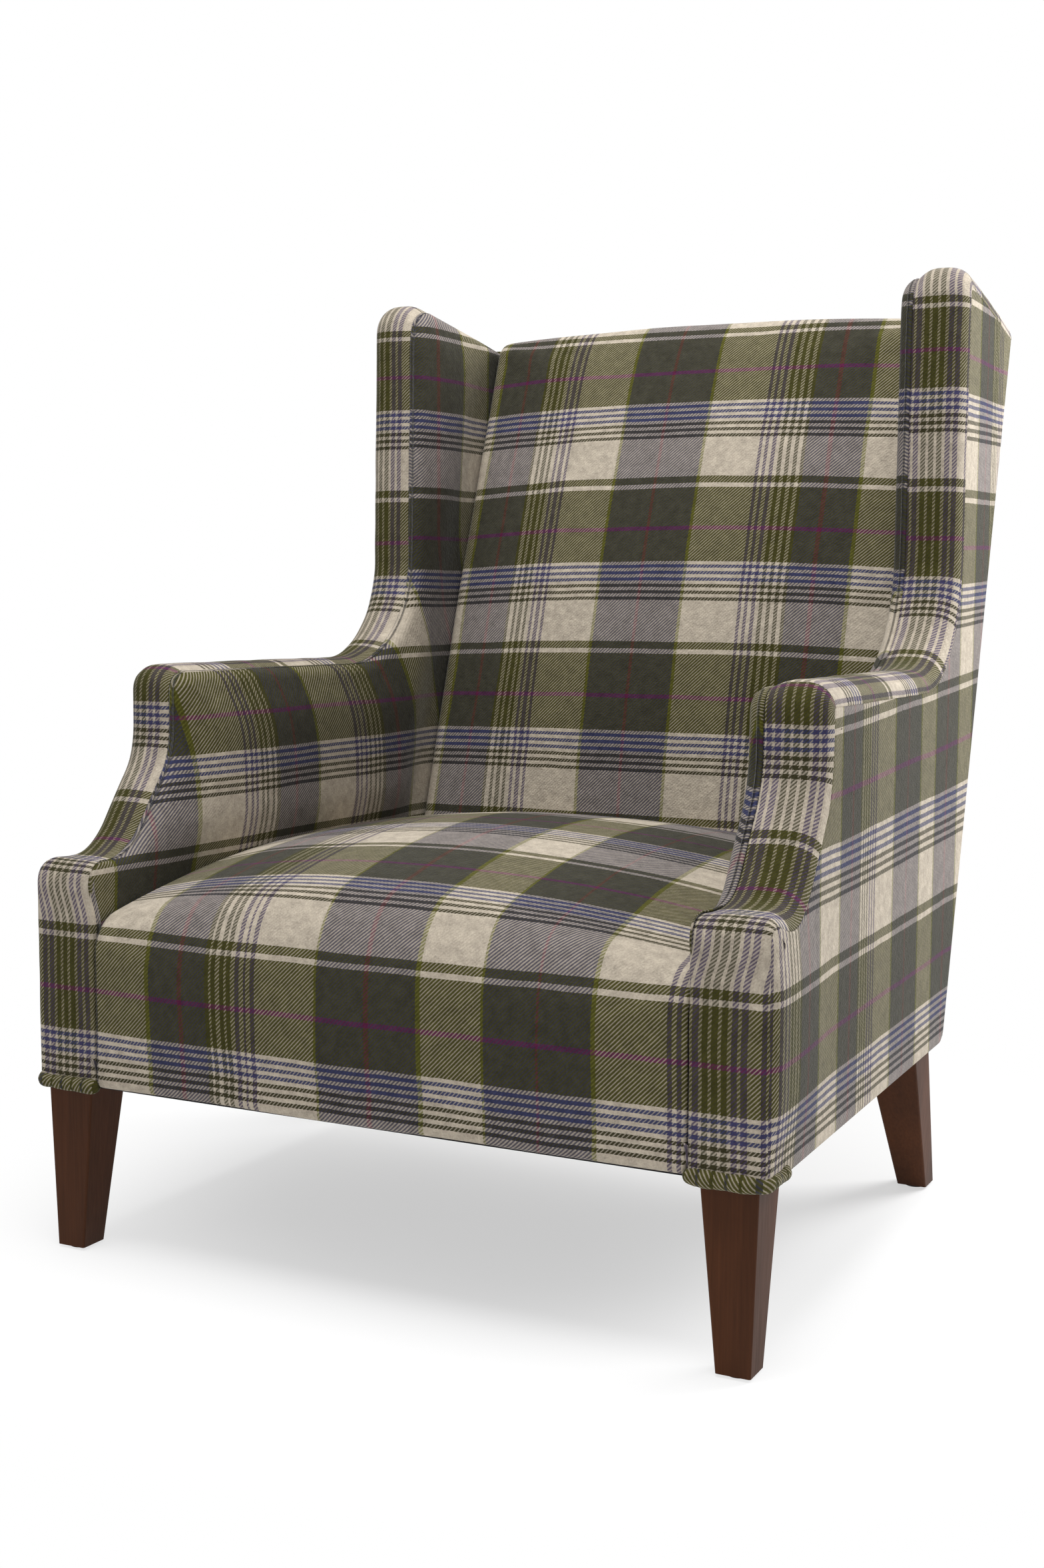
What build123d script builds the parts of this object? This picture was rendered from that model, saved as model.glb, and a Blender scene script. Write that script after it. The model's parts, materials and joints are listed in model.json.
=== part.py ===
from build123d import *
import math
import os

os.makedirs("parts", exist_ok=True)

# ---------------------------------------------------------------------------
# Driving dimensions, in millimetres and degrees.
# The chair faces -Y, +X is its left hand side as it sits, and +Z is up.
# ---------------------------------------------------------------------------

# Whole chair
chair_width = 790           # outside faces of the two side units, at the front
body_bottom = 175           # floor to the underside of the upholstery
side_toe_in = 1.26          # each side unit turns in towards the back
back_rake = 17.9            # lean of the back from upright
back_foot = 611             # front of the chair to the foot of the raked back line

# Side unit outline
side_thickness = 74
step_height = 404           # low step at the front of the arm
step_depth = 70
scoop_back = 144            # front of the arm top, behind the low step
scoop_turn = 505
arm_height = 597
arm_fall = 4                # the arm top sinks a little towards the wing
wing_front_low = 624
wing_front_high = 633
wing_height = 1041
wing_back_height = 1002
step_radius = 22
scoop_low_radius = 70
scoop_high_radius = 80
arm_front_radius = 28
wing_curve_radius = 125
wing_top_radius = 36
back_foot_radius = 20

# Side unit layers, from the outside cloth inwards
cloth = 2                   # cover with its thin lining
board = 3                   # stiff card under the flat outside cloth
rail_width = 50             # frame members, across their run
rail_depth = 40             # frame members, through the side unit
border_wadding_depth = 10
outer_round = 22            # roll of the border over its outside edge
inner_round = 12
outer_seam_inset = 25       # outline to the seam with the outside panel
inner_seam_inset = 13       # outline to the seam with the inside panel

# Side unit frame
post_width = 50             # front post, from the outline's wadding
rail_rise = 60              # bottom rail of the side unit
arm_rail_drop = 50          # arm rail, under its wadding
wing_root_height = 655      # where the wing post stands on the arm rail
wing_post_width = 52
wing_top_drop = 55          # wing top rail, under its wadding
frame_lift = 2              # frame above the underside, for the turned-in cloth and leg plates

# Seat
fit_gap = 0.3               # soft faces that press together
seat_edge_height = 384      # highest line at the sides
seat_crown = 43             # rise of the middle above the sides
seat_crest = 215            # front of the chair to the highest line
seat_front_drop = 34        # from the crest to the front roll
seat_roll_side = 25         # depth of the front roll at the sides
seat_roll_middle = 40
seat_roll_slope = 1.455     # rise of the front roll over its depth
seat_rear_reach = 650
seat_rear_drop_side = 12
seat_rear_drop_middle = 45
seat_rail_thickness = 25
seat_rail_height = 110
seat_back_rail_rear = 555
front_wadding_depth = 8
seat_foam_base = 300        # floor to the underside of the seat foam
corner_block_leg = 60

# Springs
spring_count = 5
spring_wire = 4
spring_loop_width = 62
spring_loops = 10
spring_spacing = 108
lining = 2
clip_width = 8
clip_length = 12

# Back
back_frame_thickness = 25
stile_width = 55
back_rail_width = 60
back_middle_rail_height = 350
back_edge_pad = 16.5        # foam at the sides of the back
back_side_crown = 4         # swell of the back along its sides
back_crown = 36             # and along its middle
back_top_crown = 10
back_below_wing = 10        # the top of the back, beside the wings, below their rear corner
back_top_rise = 7           # the top edge rises to the middle
back_front_roll = 24
back_top_wadding = 8
back_swell_foot = 330       # below this the back is flat, behind the seat
webbing_width = 50
webbing_thickness = 1.5
webbing_rows = 4
webbing_columns = 3

# Legs
leg_top = 55
leg_bottom = 33
front_leg_inset_side = 10   # outside face of the body to the leg, at its top
front_leg_inset_front = 6
front_leg_toe_side = 6      # how far the outer face leans in by the floor
front_leg_toe_front = 2
rear_leg_front = 512        # front of the chair to the rear leg, at its top
rear_leg_inset_side = 6
rear_leg_toe_side = 12
rear_leg_sweep = 100        # how far the rear leg's front face rakes back
leg_edge = 2
glide_diameter = 22
glide_height = 3
bolt_diameter = 8
bolt_in_leg = 25
bolt_in_frame = 35
plate_size = 40
plate_thickness = 2
dust_cover_thickness = 1
dust_cover_inset = 8
dust_cover_clearance = 2
tuck_radius = 4
tuck_inset = 1.5            # front of the chair to the middle of the tuck roll
tuck_return = 55            # how far the roll runs back along the side
tuck_bend = 6

# ---------------------------------------------------------------------------
# Derived frame
# ---------------------------------------------------------------------------

half_width = chair_width / 2
toe = math.radians(side_toe_in)
rake = math.radians(back_rake)
back_top_run = back_foot + (wing_back_height - body_bottom) * math.tan(rake)
back_height = wing_back_height - back_below_wing
far = 2 * wing_height       # past every edge of the chair
foremost = tuck_inset - tuck_radius
rearmost = back_top_run * math.cos(toe) + cloth * math.cos(rake)
front_y = -(foremost + rearmost) / 2


def side_plane(depth=0.0):
    """Sketch plane of the +X side unit, depth inwards from its outside face: x runs back, y runs up."""
    face = Plane(
        origin=(half_width, front_y, 0),
        x_dir=(-math.sin(toe), math.cos(toe), 0),
        z_dir=(math.cos(toe), math.sin(toe), 0),
    )
    return face.offset(-depth)


def back_plane(x=0.0):
    """Sketch plane across the back at one x: x runs up the rake, y runs forward from the back line."""
    return Plane(
        origin=(x, front_y + back_foot, body_bottom),
        x_dir=(0, math.sin(rake), math.cos(rake)),
        z_dir=(1, 0, 0),
    )


def up_the_back(height):
    """Distance along the back line at a height above the floor."""
    return (height - body_bottom) / math.cos(rake)


side_corners = [
    (0, body_bottom, 0),
    (0, step_height, step_radius),
    (step_depth, step_height, scoop_low_radius),
    (scoop_back, scoop_turn, scoop_high_radius),
    (scoop_back, arm_height, arm_front_radius),
    (wing_front_low, arm_height - arm_fall, wing_curve_radius),
    (wing_front_high, wing_height, wing_top_radius),
    (back_top_run, wing_back_height, 0),
    (back_foot, body_bottom, back_foot_radius),
]
strip_edge_count = 7        # the first seven edges carry the border strip


def moved_in(corners, strip, back, bottom):
    """The outline's corners with its strip, back and bottom edges moved in by these distances."""
    insets = [strip] * strip_edge_count + [back, bottom]
    count = len(corners)
    lines = []
    for i, (x, z, _) in enumerate(corners):
        next_x, next_z, _ = corners[(i + 1) % count]
        length = math.hypot(next_x - x, next_z - z)
        run = ((next_x - x) / length, (next_z - z) / length)
        start = (x + run[1] * insets[i], z - run[0] * insets[i])
        lines.append((start, run))
    points = []
    radii = []
    for i in range(count):
        (before, run_in), (after, run_out) = lines[i - 1], lines[i]
        turn = run_in[0] * run_out[1] - run_in[1] * run_out[0]
        gap = (after[0] - before[0], after[1] - before[1])
        along = (gap[0] * run_out[1] - gap[1] * run_out[0]) / turn
        points.append((before[0] + run_in[0] * along, before[1] + run_in[1] * along))
        radius = corners[i][2]
        inset = max(insets[i - 1], insets[i])
        if radius and turn < 0:
            radius = max(radius - inset, 0)
        elif radius:
            radius = radius + inset
        radii.append(radius)
    return points, radii


def side_outline(strip=0.0, back=0.0, bottom=0.0):
    """Closed outline of the side unit as a sketch, moved in by these distances."""
    points, radii = moved_in(side_corners, strip, back, bottom)
    with BuildSketch() as outline:
        with BuildLine():
            FilletPolyline(*points, radius=radii, close=True)
        make_face()
    return outline.sketch


def slab(depth, thickness, outline):
    """Flat solid of an outline, starting at a depth in the side unit."""
    with BuildPart() as layer:
        with BuildSketch(side_plane(depth)):
            add(outline)
        extrude(amount=-thickness)
    return layer.part


def side_block(strip, start, end, outer_radius, inner_radius, overhang=0.0):
    """Solid of the side unit between two depths, with its strip edges rolled over."""
    with BuildPart() as block:
        add(slab(start, end - start, side_outline(strip, -overhang, -overhang)))
        sides = block.faces().filter_by(Axis((0, 0, 0), side_plane().z_dir)).sort_by(Axis.X)
        for face, radius in ((sides[-1], outer_radius), (sides[0], inner_radius)):
            bottom_edges = face.edges().sort_by(Axis.Z)[:2]
            back_edge = face.edges().sort_by(SortBy.LENGTH)[-1:]
            fillet(face.edges() - bottom_edges - back_edge, radius)
    return block.part


def inner_half_width(run, extra):
    """Half the clear width between the side units, at a distance back from the front."""
    return half_width - run * math.tan(toe) - (side_thickness + extra) / math.cos(toe)


def between_sides(extra, bottom=0.0, top=far, front=-far, back=far):
    """Solid that fills the space between the side units, less an extra gap."""
    near_half = inner_half_width(front, extra)
    far_half = inner_half_width(back, extra)
    with BuildPart() as space:
        with BuildSketch(Plane.XY.offset(bottom)):
            with BuildLine():
                Polyline(
                    (-near_half, front_y + front),
                    (near_half, front_y + front),
                    (far_half, front_y + back),
                    (-far_half, front_y + back),
                    close=True,
                )
            make_face()
        extrude(amount=top - bottom)
    return space.part


def export(piece, name):
    """Write one sub-part under its name."""
    piece.label = name
    export_step(piece, f"parts/{name}.step")


def export_pair(piece, name):
    """Write a sub-part of the +X side and its mirror image of the -X side."""
    export(piece, name + "_left")
    export(mirror(piece, about=Plane.YZ), name + "_right")


# ---------------------------------------------------------------------------
# Side units
# ---------------------------------------------------------------------------

pad_end = side_thickness - cloth
frame_start = cloth + board
frame_end = frame_start + rail_depth
wrap = cloth + border_wadding_depth

skin_outer = side_block(0, 0, side_thickness, outer_round, inner_round)
skin_inner = side_block(cloth, cloth, pad_end, outer_round - cloth, inner_round - cloth, overhang=cloth)

with BuildPart() as outside_side_cover:
    add(slab(0, cloth, side_outline(outer_seam_inset)))

with BuildPart() as inside_side_cover:
    add(slab(pad_end, cloth, side_outline(inner_seam_inset)))

with BuildPart() as border_cover:
    add(skin_outer)
    add(skin_inner, mode=Mode.SUBTRACT)
    add(outside_side_cover.part, mode=Mode.SUBTRACT)
    add(inside_side_cover.part, mode=Mode.SUBTRACT)

with BuildPart() as border_wadding:
    add(side_block(cloth, cloth, pad_end, outer_round - cloth, inner_round - cloth))
    add(slab(0, side_thickness, side_outline(wrap, -cloth, -cloth)), mode=Mode.SUBTRACT)

with BuildPart() as side_board:
    add(slab(cloth, board, side_outline(outer_round)))

with BuildPart() as side_pad:
    add(slab(frame_end, pad_end - frame_end, side_outline(wrap, bottom=frame_lift)))

export_pair(outside_side_cover.part, "outside_side_cover")
export_pair(inside_side_cover.part, "inside_side_cover")
export_pair(border_cover.part, "border_cover")
export_pair(border_wadding.part, "border_wadding")
export_pair(side_board.part, "side_board")
export_pair(side_pad.part, "side_pad")

frame_bottom = body_bottom + frame_lift
post_back = wrap + post_width
rail_top = frame_bottom + rail_rise
step_rail_under = step_height - wrap - post_width
arm_rail_under = arm_height - wrap - arm_rail_drop
scoop_rail_back = scoop_back + wrap + post_width
wing_post_back = wing_front_low + wrap + wing_post_width


def rear_post_outline():
    """The raked post along the back edge of the side unit."""
    with BuildSketch() as post:
        add(side_outline(wrap, bottom=frame_lift))
        add(side_outline(wrap, back=rail_width, bottom=frame_lift), mode=Mode.SUBTRACT)
    return post.sketch


def under_wing_top(run):
    """Height of the underside of the wing top rail, at a distance back from the front."""
    slope = (wing_back_height - wing_height) / (back_top_run - wing_front_high)
    return wing_height + slope * (run - wing_front_high) - wrap - wing_top_drop


def window_corners():
    """Corners of the two windows that the frame members leave, arm window and wing window."""
    arm_window = [
        (post_back, rail_top),
        (post_back, step_rail_under),
        (scoop_rail_back, scoop_turn - post_width / 2),
        (scoop_rail_back, arm_rail_under),
        (far, arm_rail_under),
        (far, rail_top),
    ]
    wing_window = [
        (wing_post_back, wing_root_height),
        (wing_post_back, under_wing_top(wing_post_back)),
        (far, under_wing_top(far)),
        (far, wing_root_height),
    ]
    return arm_window, wing_window


def member_outline(low, high):
    """The part of the side frame, ahead of the rear post, inside one box of its drawing."""
    with BuildSketch() as member:
        add(side_outline(wrap, back=rail_width, bottom=frame_lift))
        for window in window_corners():
            with BuildLine():
                Polyline(*window, close=True)
            make_face(mode=Mode.SUBTRACT)
        with BuildLine():
            Polyline(low, (high[0], low[1]), high, (low[0], high[1]), close=True)
        make_face(mode=Mode.INTERSECT)
    return member.sketch


side_members = {
    "front_post": ((0, 0), (post_back, step_rail_under)),
    "side_rail": ((post_back, 0), (far, rail_top)),
    "arm_front": ((0, step_rail_under), (scoop_rail_back, far)),
    "arm_rail": ((scoop_rail_back, arm_rail_under), (far, wing_root_height)),
    "wing_post": ((scoop_rail_back, wing_root_height), (wing_post_back, far)),
    "wing_top_rail": ((wing_post_back, wing_root_height), (far, far)),
}


# ---------------------------------------------------------------------------
# Legs, with their bolts, plates and glides
# ---------------------------------------------------------------------------

def leg_corner(rear):
    """Outer front corner of a +X leg at its top and at its foot: x, distance back."""
    if rear:
        outer = half_width - rear_leg_front * math.tan(toe) - rear_leg_inset_side
        top = (outer, rear_leg_front)
        foot = (outer - rear_leg_toe_side, rear_leg_front + rear_leg_sweep)
    else:
        outer = half_width - front_leg_inset_side
        top = (outer, front_leg_inset_front)
        foot = (outer - front_leg_toe_side, front_leg_inset_front + front_leg_toe_front)
    return top, foot


def leg_centre(rear):
    """Middle of a +X leg's top face."""
    top, _ = leg_corner(rear)
    return top[0] - leg_top / 2, front_y + top[1] + leg_top / 2


def foot_centre(rear):
    """Middle of a +X leg's foot."""
    _, foot = leg_corner(rear)
    return foot[0] - leg_bottom / 2, front_y + foot[1] + leg_bottom / 2


def bolt_hole_at(rear):
    """Vertical bolt of a +X leg, from inside the leg up into the frame."""
    with BuildPart() as bolt:
        with BuildSketch(Plane.XY.offset(body_bottom - bolt_in_leg)):
            with Locations(leg_centre(rear)):
                Circle(bolt_diameter / 2)
        extrude(amount=bolt_in_leg + frame_lift + bolt_in_frame)
    return bolt.part


def tapered_leg(rear):
    """Square leg of the +X side, lofted from its foot to its top, with eased edges."""
    with BuildPart() as leg:
        with BuildSketch(Plane.XY.offset(glide_height)):
            with Locations(foot_centre(rear)):
                Rectangle(leg_bottom, leg_bottom)
        with BuildSketch(Plane.XY.offset(body_bottom)):
            with Locations(leg_centre(rear)):
                Rectangle(leg_top, leg_top)
        loft(ruled=True)
        ends = leg.faces().sort_by(Axis.Z)
        fillet(leg.edges() - ends[0].edges() - ends[-1].edges(), leg_edge)
        add(bolt_hole_at(rear), mode=Mode.SUBTRACT)
    return leg.part


bolts = [bolt_hole_at(False), bolt_hole_at(True)]

for member_name, (low, high) in side_members.items():
    with BuildPart() as member:
        add(slab(frame_start, rail_depth, member_outline(low, high)))
        for bolt in bolts:
            add(bolt, mode=Mode.SUBTRACT)
    export_pair(member.part, member_name)

with BuildPart() as rear_post:
    add(slab(frame_start, rail_depth, rear_post_outline()))
export_pair(rear_post.part, "rear_post")

export_pair(tapered_leg(False), "front_leg")
export_pair(tapered_leg(True), "rear_leg")

with BuildPart() as leg_bolts:
    for bolt in bolts:
        add(bolt)
    mirror(about=Plane.YZ)
export(leg_bolts.part, "leg_bolts")

with BuildPart() as leg_plates:
    with BuildSketch(Plane.XY.offset(body_bottom)):
        with Locations(leg_centre(False), leg_centre(True)):
            Rectangle(plate_size, plate_size)
            Circle(bolt_diameter / 2, mode=Mode.SUBTRACT)
    extrude(amount=plate_thickness)
    mirror(about=Plane.YZ)
export(leg_plates.part, "leg_plates")

with BuildPart() as glides:
    with BuildSketch():
        with Locations(foot_centre(False), foot_centre(True)):
            Circle(glide_diameter / 2)
    extrude(amount=glide_height)
    mirror(about=Plane.YZ)
export(glides.part, "glides")

# ---------------------------------------------------------------------------
# Back
# ---------------------------------------------------------------------------

back_top = up_the_back(back_height)
frame_front = board + back_frame_thickness
pad_start = frame_front + 2 * webbing_thickness
back_edge_thickness = pad_start + back_edge_pad + cloth
loft_half_width = inner_half_width(0, 0)
loft_shares = (-1, -0.5, 0, 0.5, 1)


def back_section(share, inset, overhang=0.0):
    """Section of the back at a share of its half width: x up the rake, y forward from the back line."""
    fullness = 1 - share**2
    top = back_top + back_top_rise * fullness - inset
    edge = back_edge_thickness - inset
    head = edge + back_top_crown * fullness
    middle = edge + back_side_crown + (back_crown - back_side_crown) * fullness
    swell_foot = up_the_back(back_swell_foot)
    roll = back_front_roll - inset
    roll_start = top - roll
    roll_height = head - roll
    with BuildSketch(back_plane(share * loft_half_width)) as section:
        with BuildLine():
            Polyline(
                (swell_foot, edge),
                (-overhang, edge),
                (-overhang, -overhang),
                (top, -overhang),
                (top, roll_height),
            )
            CenterArc((roll_start, roll_height), roll, 0, 90)
            ThreePointArc((roll_start, head), ((swell_foot + roll_start) / 2, middle), (swell_foot, edge))
        make_face()
    return section.sketch


def back_form(inset, side_gap, overhang=0.0):
    """Crowned solid of the back, moved in by an inset and kept clear of the side units."""
    with BuildPart() as form:
        for share in loft_shares:
            add(back_section(share, inset, overhang))
        loft()
        add(between_sides(side_gap), mode=Mode.INTERSECT)
    return form.part


def across_back(forward=0.0):
    """Sketch plane along the back line, or this far ahead of it: x runs across, y runs up the rake."""
    foot = (0, front_y + back_foot, body_bottom)
    return Plane(origin=foot, x_dir=(1, 0, 0), z_dir=(0, -math.cos(rake), math.sin(rake))).offset(forward)


def back_layer(forward, thickness, low, high, half=None):
    """Flat layer of the back across the space between the side units, or a strip of it."""
    with BuildPart() as layer:
        with BuildSketch(across_back(forward)):
            with Locations((0, (low + high) / 2)):
                Rectangle(2 * (half or chair_width), high - low)
        extrude(amount=thickness)
        add(between_sides(fit_gap + cloth), mode=Mode.INTERSECT)
    return layer.part


back_outer = back_form(0, fit_gap)
back_inner = back_form(cloth, fit_gap + cloth, overhang=cloth)
frame_head = back_top - cloth - back_top_wadding
frame_foot = frame_lift / math.cos(rake)

with BuildPart() as inside_back_cover:
    add(back_outer)
    add(back_inner, mode=Mode.SUBTRACT)
export(inside_back_cover.part, "inside_back_cover")

with BuildPart() as back_foam:
    add(back_form(cloth, fit_gap + cloth))
    add(back_layer(-cloth, pad_start + cloth, -far, frame_head), mode=Mode.SUBTRACT)
    add(back_layer(-cloth, far, -far, up_the_back(back_swell_foot)), mode=Mode.SUBTRACT)
export(back_foam.part, "back_foam")

with BuildPart() as back_board:
    add(back_layer(0, board, frame_foot, frame_head))
export(back_board.part, "back_board")

rail_spans = {
    "back_top_rail": frame_head - back_rail_width,
    "back_middle_rail": up_the_back(back_middle_rail_height),
    "back_bottom_rail": frame_foot,
}
for rail_name, low in rail_spans.items():
    with BuildPart() as back_rail:
        add(back_layer(board, back_frame_thickness, low, low + back_rail_width))
        add(between_sides(fit_gap + cloth + stile_width), mode=Mode.INTERSECT)
    export(back_rail.part, rail_name)

with BuildPart() as stiles:
    add(back_layer(board, back_frame_thickness, frame_foot, frame_head))
    add(between_sides(fit_gap + cloth + stile_width), mode=Mode.SUBTRACT)
export(stiles.solids().sort_by(Axis.X)[-1], "back_stile_left")
export(stiles.solids().sort_by(Axis.X)[0], "back_stile_right")

with BuildPart() as back_webbing:
    webbing_low = rail_spans["back_middle_rail"] + back_rail_width / 2
    webbing_high = frame_head - webbing_width / 2
    webbing_middle = (webbing_low + webbing_high) / 2
    row_step = (webbing_high - webbing_low) / (webbing_rows + 1)
    with BuildSketch(across_back(frame_front)):
        with Locations((0, webbing_middle)):
            with GridLocations(0, row_step, 1, webbing_rows):
                Rectangle(2 * loft_half_width, webbing_width)
    extrude(amount=webbing_thickness)
    column_step = 2 * loft_half_width / (webbing_columns + 1)
    with BuildSketch(across_back(frame_front + webbing_thickness)):
        with Locations((0, webbing_middle)):
            with GridLocations(column_step, 0, webbing_columns, 1):
                Rectangle(webbing_width, webbing_high - webbing_low)
    extrude(amount=webbing_thickness)
    add(between_sides(fit_gap + cloth), mode=Mode.INTERSECT)
export(back_webbing.part, "back_webbing")

with BuildPart() as outside_back_cover:
    with BuildSketch(across_back(-cloth)):
        wing_back_top = up_the_back(wing_back_height)
        foot_half = half_width - back_foot * math.tan(toe)
        top_half = half_width - back_top_run * math.tan(toe)
        with BuildLine():
            Polyline(
                (-foot_half, 0),
                (foot_half, 0),
                (top_half, wing_back_top),
                (-top_half, wing_back_top),
                close=True,
            )
        make_face()
        with Locations((0, back_top)):
            Rectangle(2 * top_half - 2 * side_thickness, far, align=(Align.CENTER, Align.MIN), mode=Mode.SUBTRACT)
    extrude(amount=cloth)
export(outside_back_cover.part, "outside_back_cover")

# ---------------------------------------------------------------------------
# Seat
# ---------------------------------------------------------------------------


def seat_section(share, inset, bottom):
    """Section of the seat at a share of its half width, along the depth of the chair."""
    fullness = 1 - share**2
    crest = seat_edge_height + seat_crown * fullness - inset
    front = front_y + inset
    roll = seat_roll_side + (seat_roll_middle - seat_roll_side) * fullness
    brow = crest - seat_front_drop
    rear = front_y + seat_rear_reach
    rear_drop = seat_rear_drop_side + (seat_rear_drop_middle - seat_rear_drop_side) * fullness
    roll_low = brow - seat_roll_slope * roll
    with BuildSketch(Plane.YZ.offset(share * loft_half_width)) as section:
        with BuildLine():
            Polyline((rear, crest - rear_drop), (rear, bottom), (front, bottom), (front, roll_low))
            TangentArc((front, roll_low), (front + roll, brow), tangent=(0, 1))
            ThreePointArc((front + roll, brow), (front_y + seat_crest, crest), (rear, crest - rear_drop))
        make_face()
    return section.sketch


def seat_form(inset, gap, bottom):
    """Crowned solid of the seat, clear of the side units and of the back."""
    with BuildPart() as form:
        for share in loft_shares:
            add(seat_section(share, inset, bottom))
        loft()
        add(between_sides(gap), mode=Mode.INTERSECT)
        add(back_form(-gap, -cloth, overhang=body_bottom), mode=Mode.SUBTRACT)
    return form.part


seat_outer = seat_form(0, fit_gap, body_bottom)
seat_inner = seat_form(cloth, fit_gap + cloth, body_bottom - cloth)

with BuildPart() as seat_cover:
    add(seat_outer)
    add(seat_inner, mode=Mode.SUBTRACT)
export(seat_cover.part, "seat_cover")

with BuildPart() as seat_foam:
    add(seat_inner)
    add(between_sides(0, top=seat_foam_base), mode=Mode.SUBTRACT)
export(seat_foam.part, "seat_foam")

rail_bottom = frame_bottom
seat_rail_top = rail_bottom + seat_rail_height
rail_front = cloth + front_wadding_depth
rail_rear = seat_back_rail_rear
box_gap = fit_gap + cloth

with BuildPart() as seat_front_pad:
    add(between_sides(box_gap, rail_bottom, seat_foam_base, cloth, rail_front))
export(seat_front_pad.part, "seat_front_pad")


def seat_box(front, rear, side):
    """Solid of the seat box between two depths, this far in from the side units."""
    return between_sides(box_gap + side, rail_bottom, seat_rail_top, front, rear)


inside_front = rail_front + seat_rail_thickness
inside_rear = rail_rear - seat_rail_thickness

with BuildPart() as seat_front_rail:
    add(seat_box(rail_front, inside_front, 0))
export(seat_front_rail.part, "seat_front_rail")

with BuildPart() as seat_back_rail:
    add(seat_box(inside_rear, rail_rear, 0))
export(seat_back_rail.part, "seat_back_rail")

with BuildPart() as seat_side_rails:
    add(seat_box(inside_front, inside_rear, 0))
    add(seat_box(0, rail_rear, seat_rail_thickness), mode=Mode.SUBTRACT)
export(seat_side_rails.solids().sort_by(Axis.X)[-1], "seat_side_rail_left")
export(seat_side_rails.solids().sort_by(Axis.X)[0], "seat_side_rail_right")

with BuildPart() as corner_blocks:
    with BuildSketch(Plane.XY.offset(rail_bottom)):
        for run, way in ((inside_front, 1), (inside_rear, -1)):
            corner = inner_half_width(run, box_gap + seat_rail_thickness)
            reach = inner_half_width(run + way * corner_block_leg, box_gap + seat_rail_thickness)
            near, deep = front_y + run, front_y + run + way * corner_block_leg
            for side in (1, -1):
                with BuildLine():
                    Polyline(
                        (side * corner, near),
                        (side * reach, deep),
                        (side * (corner - corner_block_leg), near),
                        close=True,
                    )
                make_face()
    extrude(amount=seat_rail_height)
export(corner_blocks.part, "corner_blocks")

# Zigzag springs run from clips on the front rail to clips on the back rail.
wire_height = seat_foam_base - lining - spring_wire / 2
spring_front = front_y + rail_front + seat_rail_thickness / 2
spring_rear = front_y + rail_rear - seat_rail_thickness / 2
loop_pitch = (spring_rear - spring_front) / spring_loops
loop_radius = loop_pitch / 2
run_half = spring_loop_width / 2 - loop_radius
spring_places = [(i - (spring_count - 1) / 2) * spring_spacing for i in range(spring_count)]


def wire_section():
    """Section of the spring wire, six-sided with a flat on top."""
    with BuildSketch() as section:
        RegularPolygon(spring_wire / 2, 6, major_radius=False)
    return section.sketch


def zigzag_wire():
    """One zigzag spring at the middle of the chair."""
    with BuildPart() as spring:
        with BuildLine(Plane.XY.offset(wire_height)) as route:
            way = 1
            y = spring_front
            Line((-way * run_half, y), (way * run_half, y))
            for _ in range(spring_loops):
                middle = (way * (run_half + loop_radius), y + loop_radius)
                ThreePointArc((way * run_half, y), middle, (way * run_half, y + loop_pitch))
                Line((way * run_half, y + loop_pitch), (-way * run_half, y + loop_pitch))
                y += loop_pitch
                way = -way
        with BuildSketch(Plane(origin=route.line @ 0, x_dir=(0, 1, 0), z_dir=route.line % 0)):
            add(wire_section())
        sweep(path=route.line)
    return spring.part


with BuildPart() as seat_springs:
    spring_solid = zigzag_wire()
    for place in spring_places:
        add(spring_solid.moved(Location((place, 0, 0))))
export(seat_springs.part, "seat_springs")

with BuildPart() as spring_clips:
    with BuildSketch(Plane.XY.offset(seat_rail_top)):
        for y in (spring_front, spring_rear):
            with Locations(*[(place, y) for place in spring_places]):
                Rectangle(clip_width, clip_length)
    extrude(amount=wire_height - seat_rail_top)
    for y in (spring_front, spring_rear):
        with BuildSketch(Plane.YZ.offset(-half_width)):
            with Locations((y, wire_height)):
                add(wire_section())
        extrude(amount=chair_width, mode=Mode.SUBTRACT)
export(spring_clips.part, "spring_clips")

with BuildPart() as spring_lining:
    add(between_sides(box_gap, seat_foam_base - lining, seat_foam_base, rail_front, rail_rear))
export(spring_lining.part, "spring_lining")

# ---------------------------------------------------------------------------
# Underside
# ---------------------------------------------------------------------------

with BuildPart() as dust_cover:
    cover_front = front_y + dust_cover_inset
    cover_rear = front_y + back_foot - dust_cover_inset - back_foot_radius
    cover_front_half = half_width - dust_cover_inset
    cover_rear_half = cover_front_half - back_foot * math.tan(toe)
    with BuildSketch(Plane.XY.offset(body_bottom - dust_cover_thickness)):
        with BuildLine():
            Polyline(
                (-cover_front_half, cover_front),
                (cover_front_half, cover_front),
                (cover_rear_half, cover_rear),
                (-cover_rear_half, cover_rear),
                close=True,
            )
        make_face()
        for rear in (False, True):
            x, y = leg_centre(rear)
            opening = leg_top + 2 * dust_cover_clearance
            with Locations((x, y), (-x, y)):
                Rectangle(opening, opening, mode=Mode.SUBTRACT)
    extrude(amount=dust_cover_thickness)
export(dust_cover.part, "dust_cover")

with BuildPart() as hem_tuck:
    tuck_y = front_y + tuck_inset
    tuck_x = half_width - front_leg_inset_side / 2
    tuck_start = inner_half_width(0, 0) + tuck_radius
    with BuildLine(Plane.XY.offset(body_bottom - tuck_radius)) as roll:
        FilletPolyline((tuck_start, tuck_y), (tuck_x, tuck_y), (tuck_x, tuck_y + tuck_return), radius=tuck_bend)
    with BuildSketch(Plane(origin=roll.line @ 0, z_dir=roll.line % 0)):
        Circle(tuck_radius)
    sweep(path=roll.line)
export_pair(hem_tuck.part, "hem_tuck")
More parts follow.
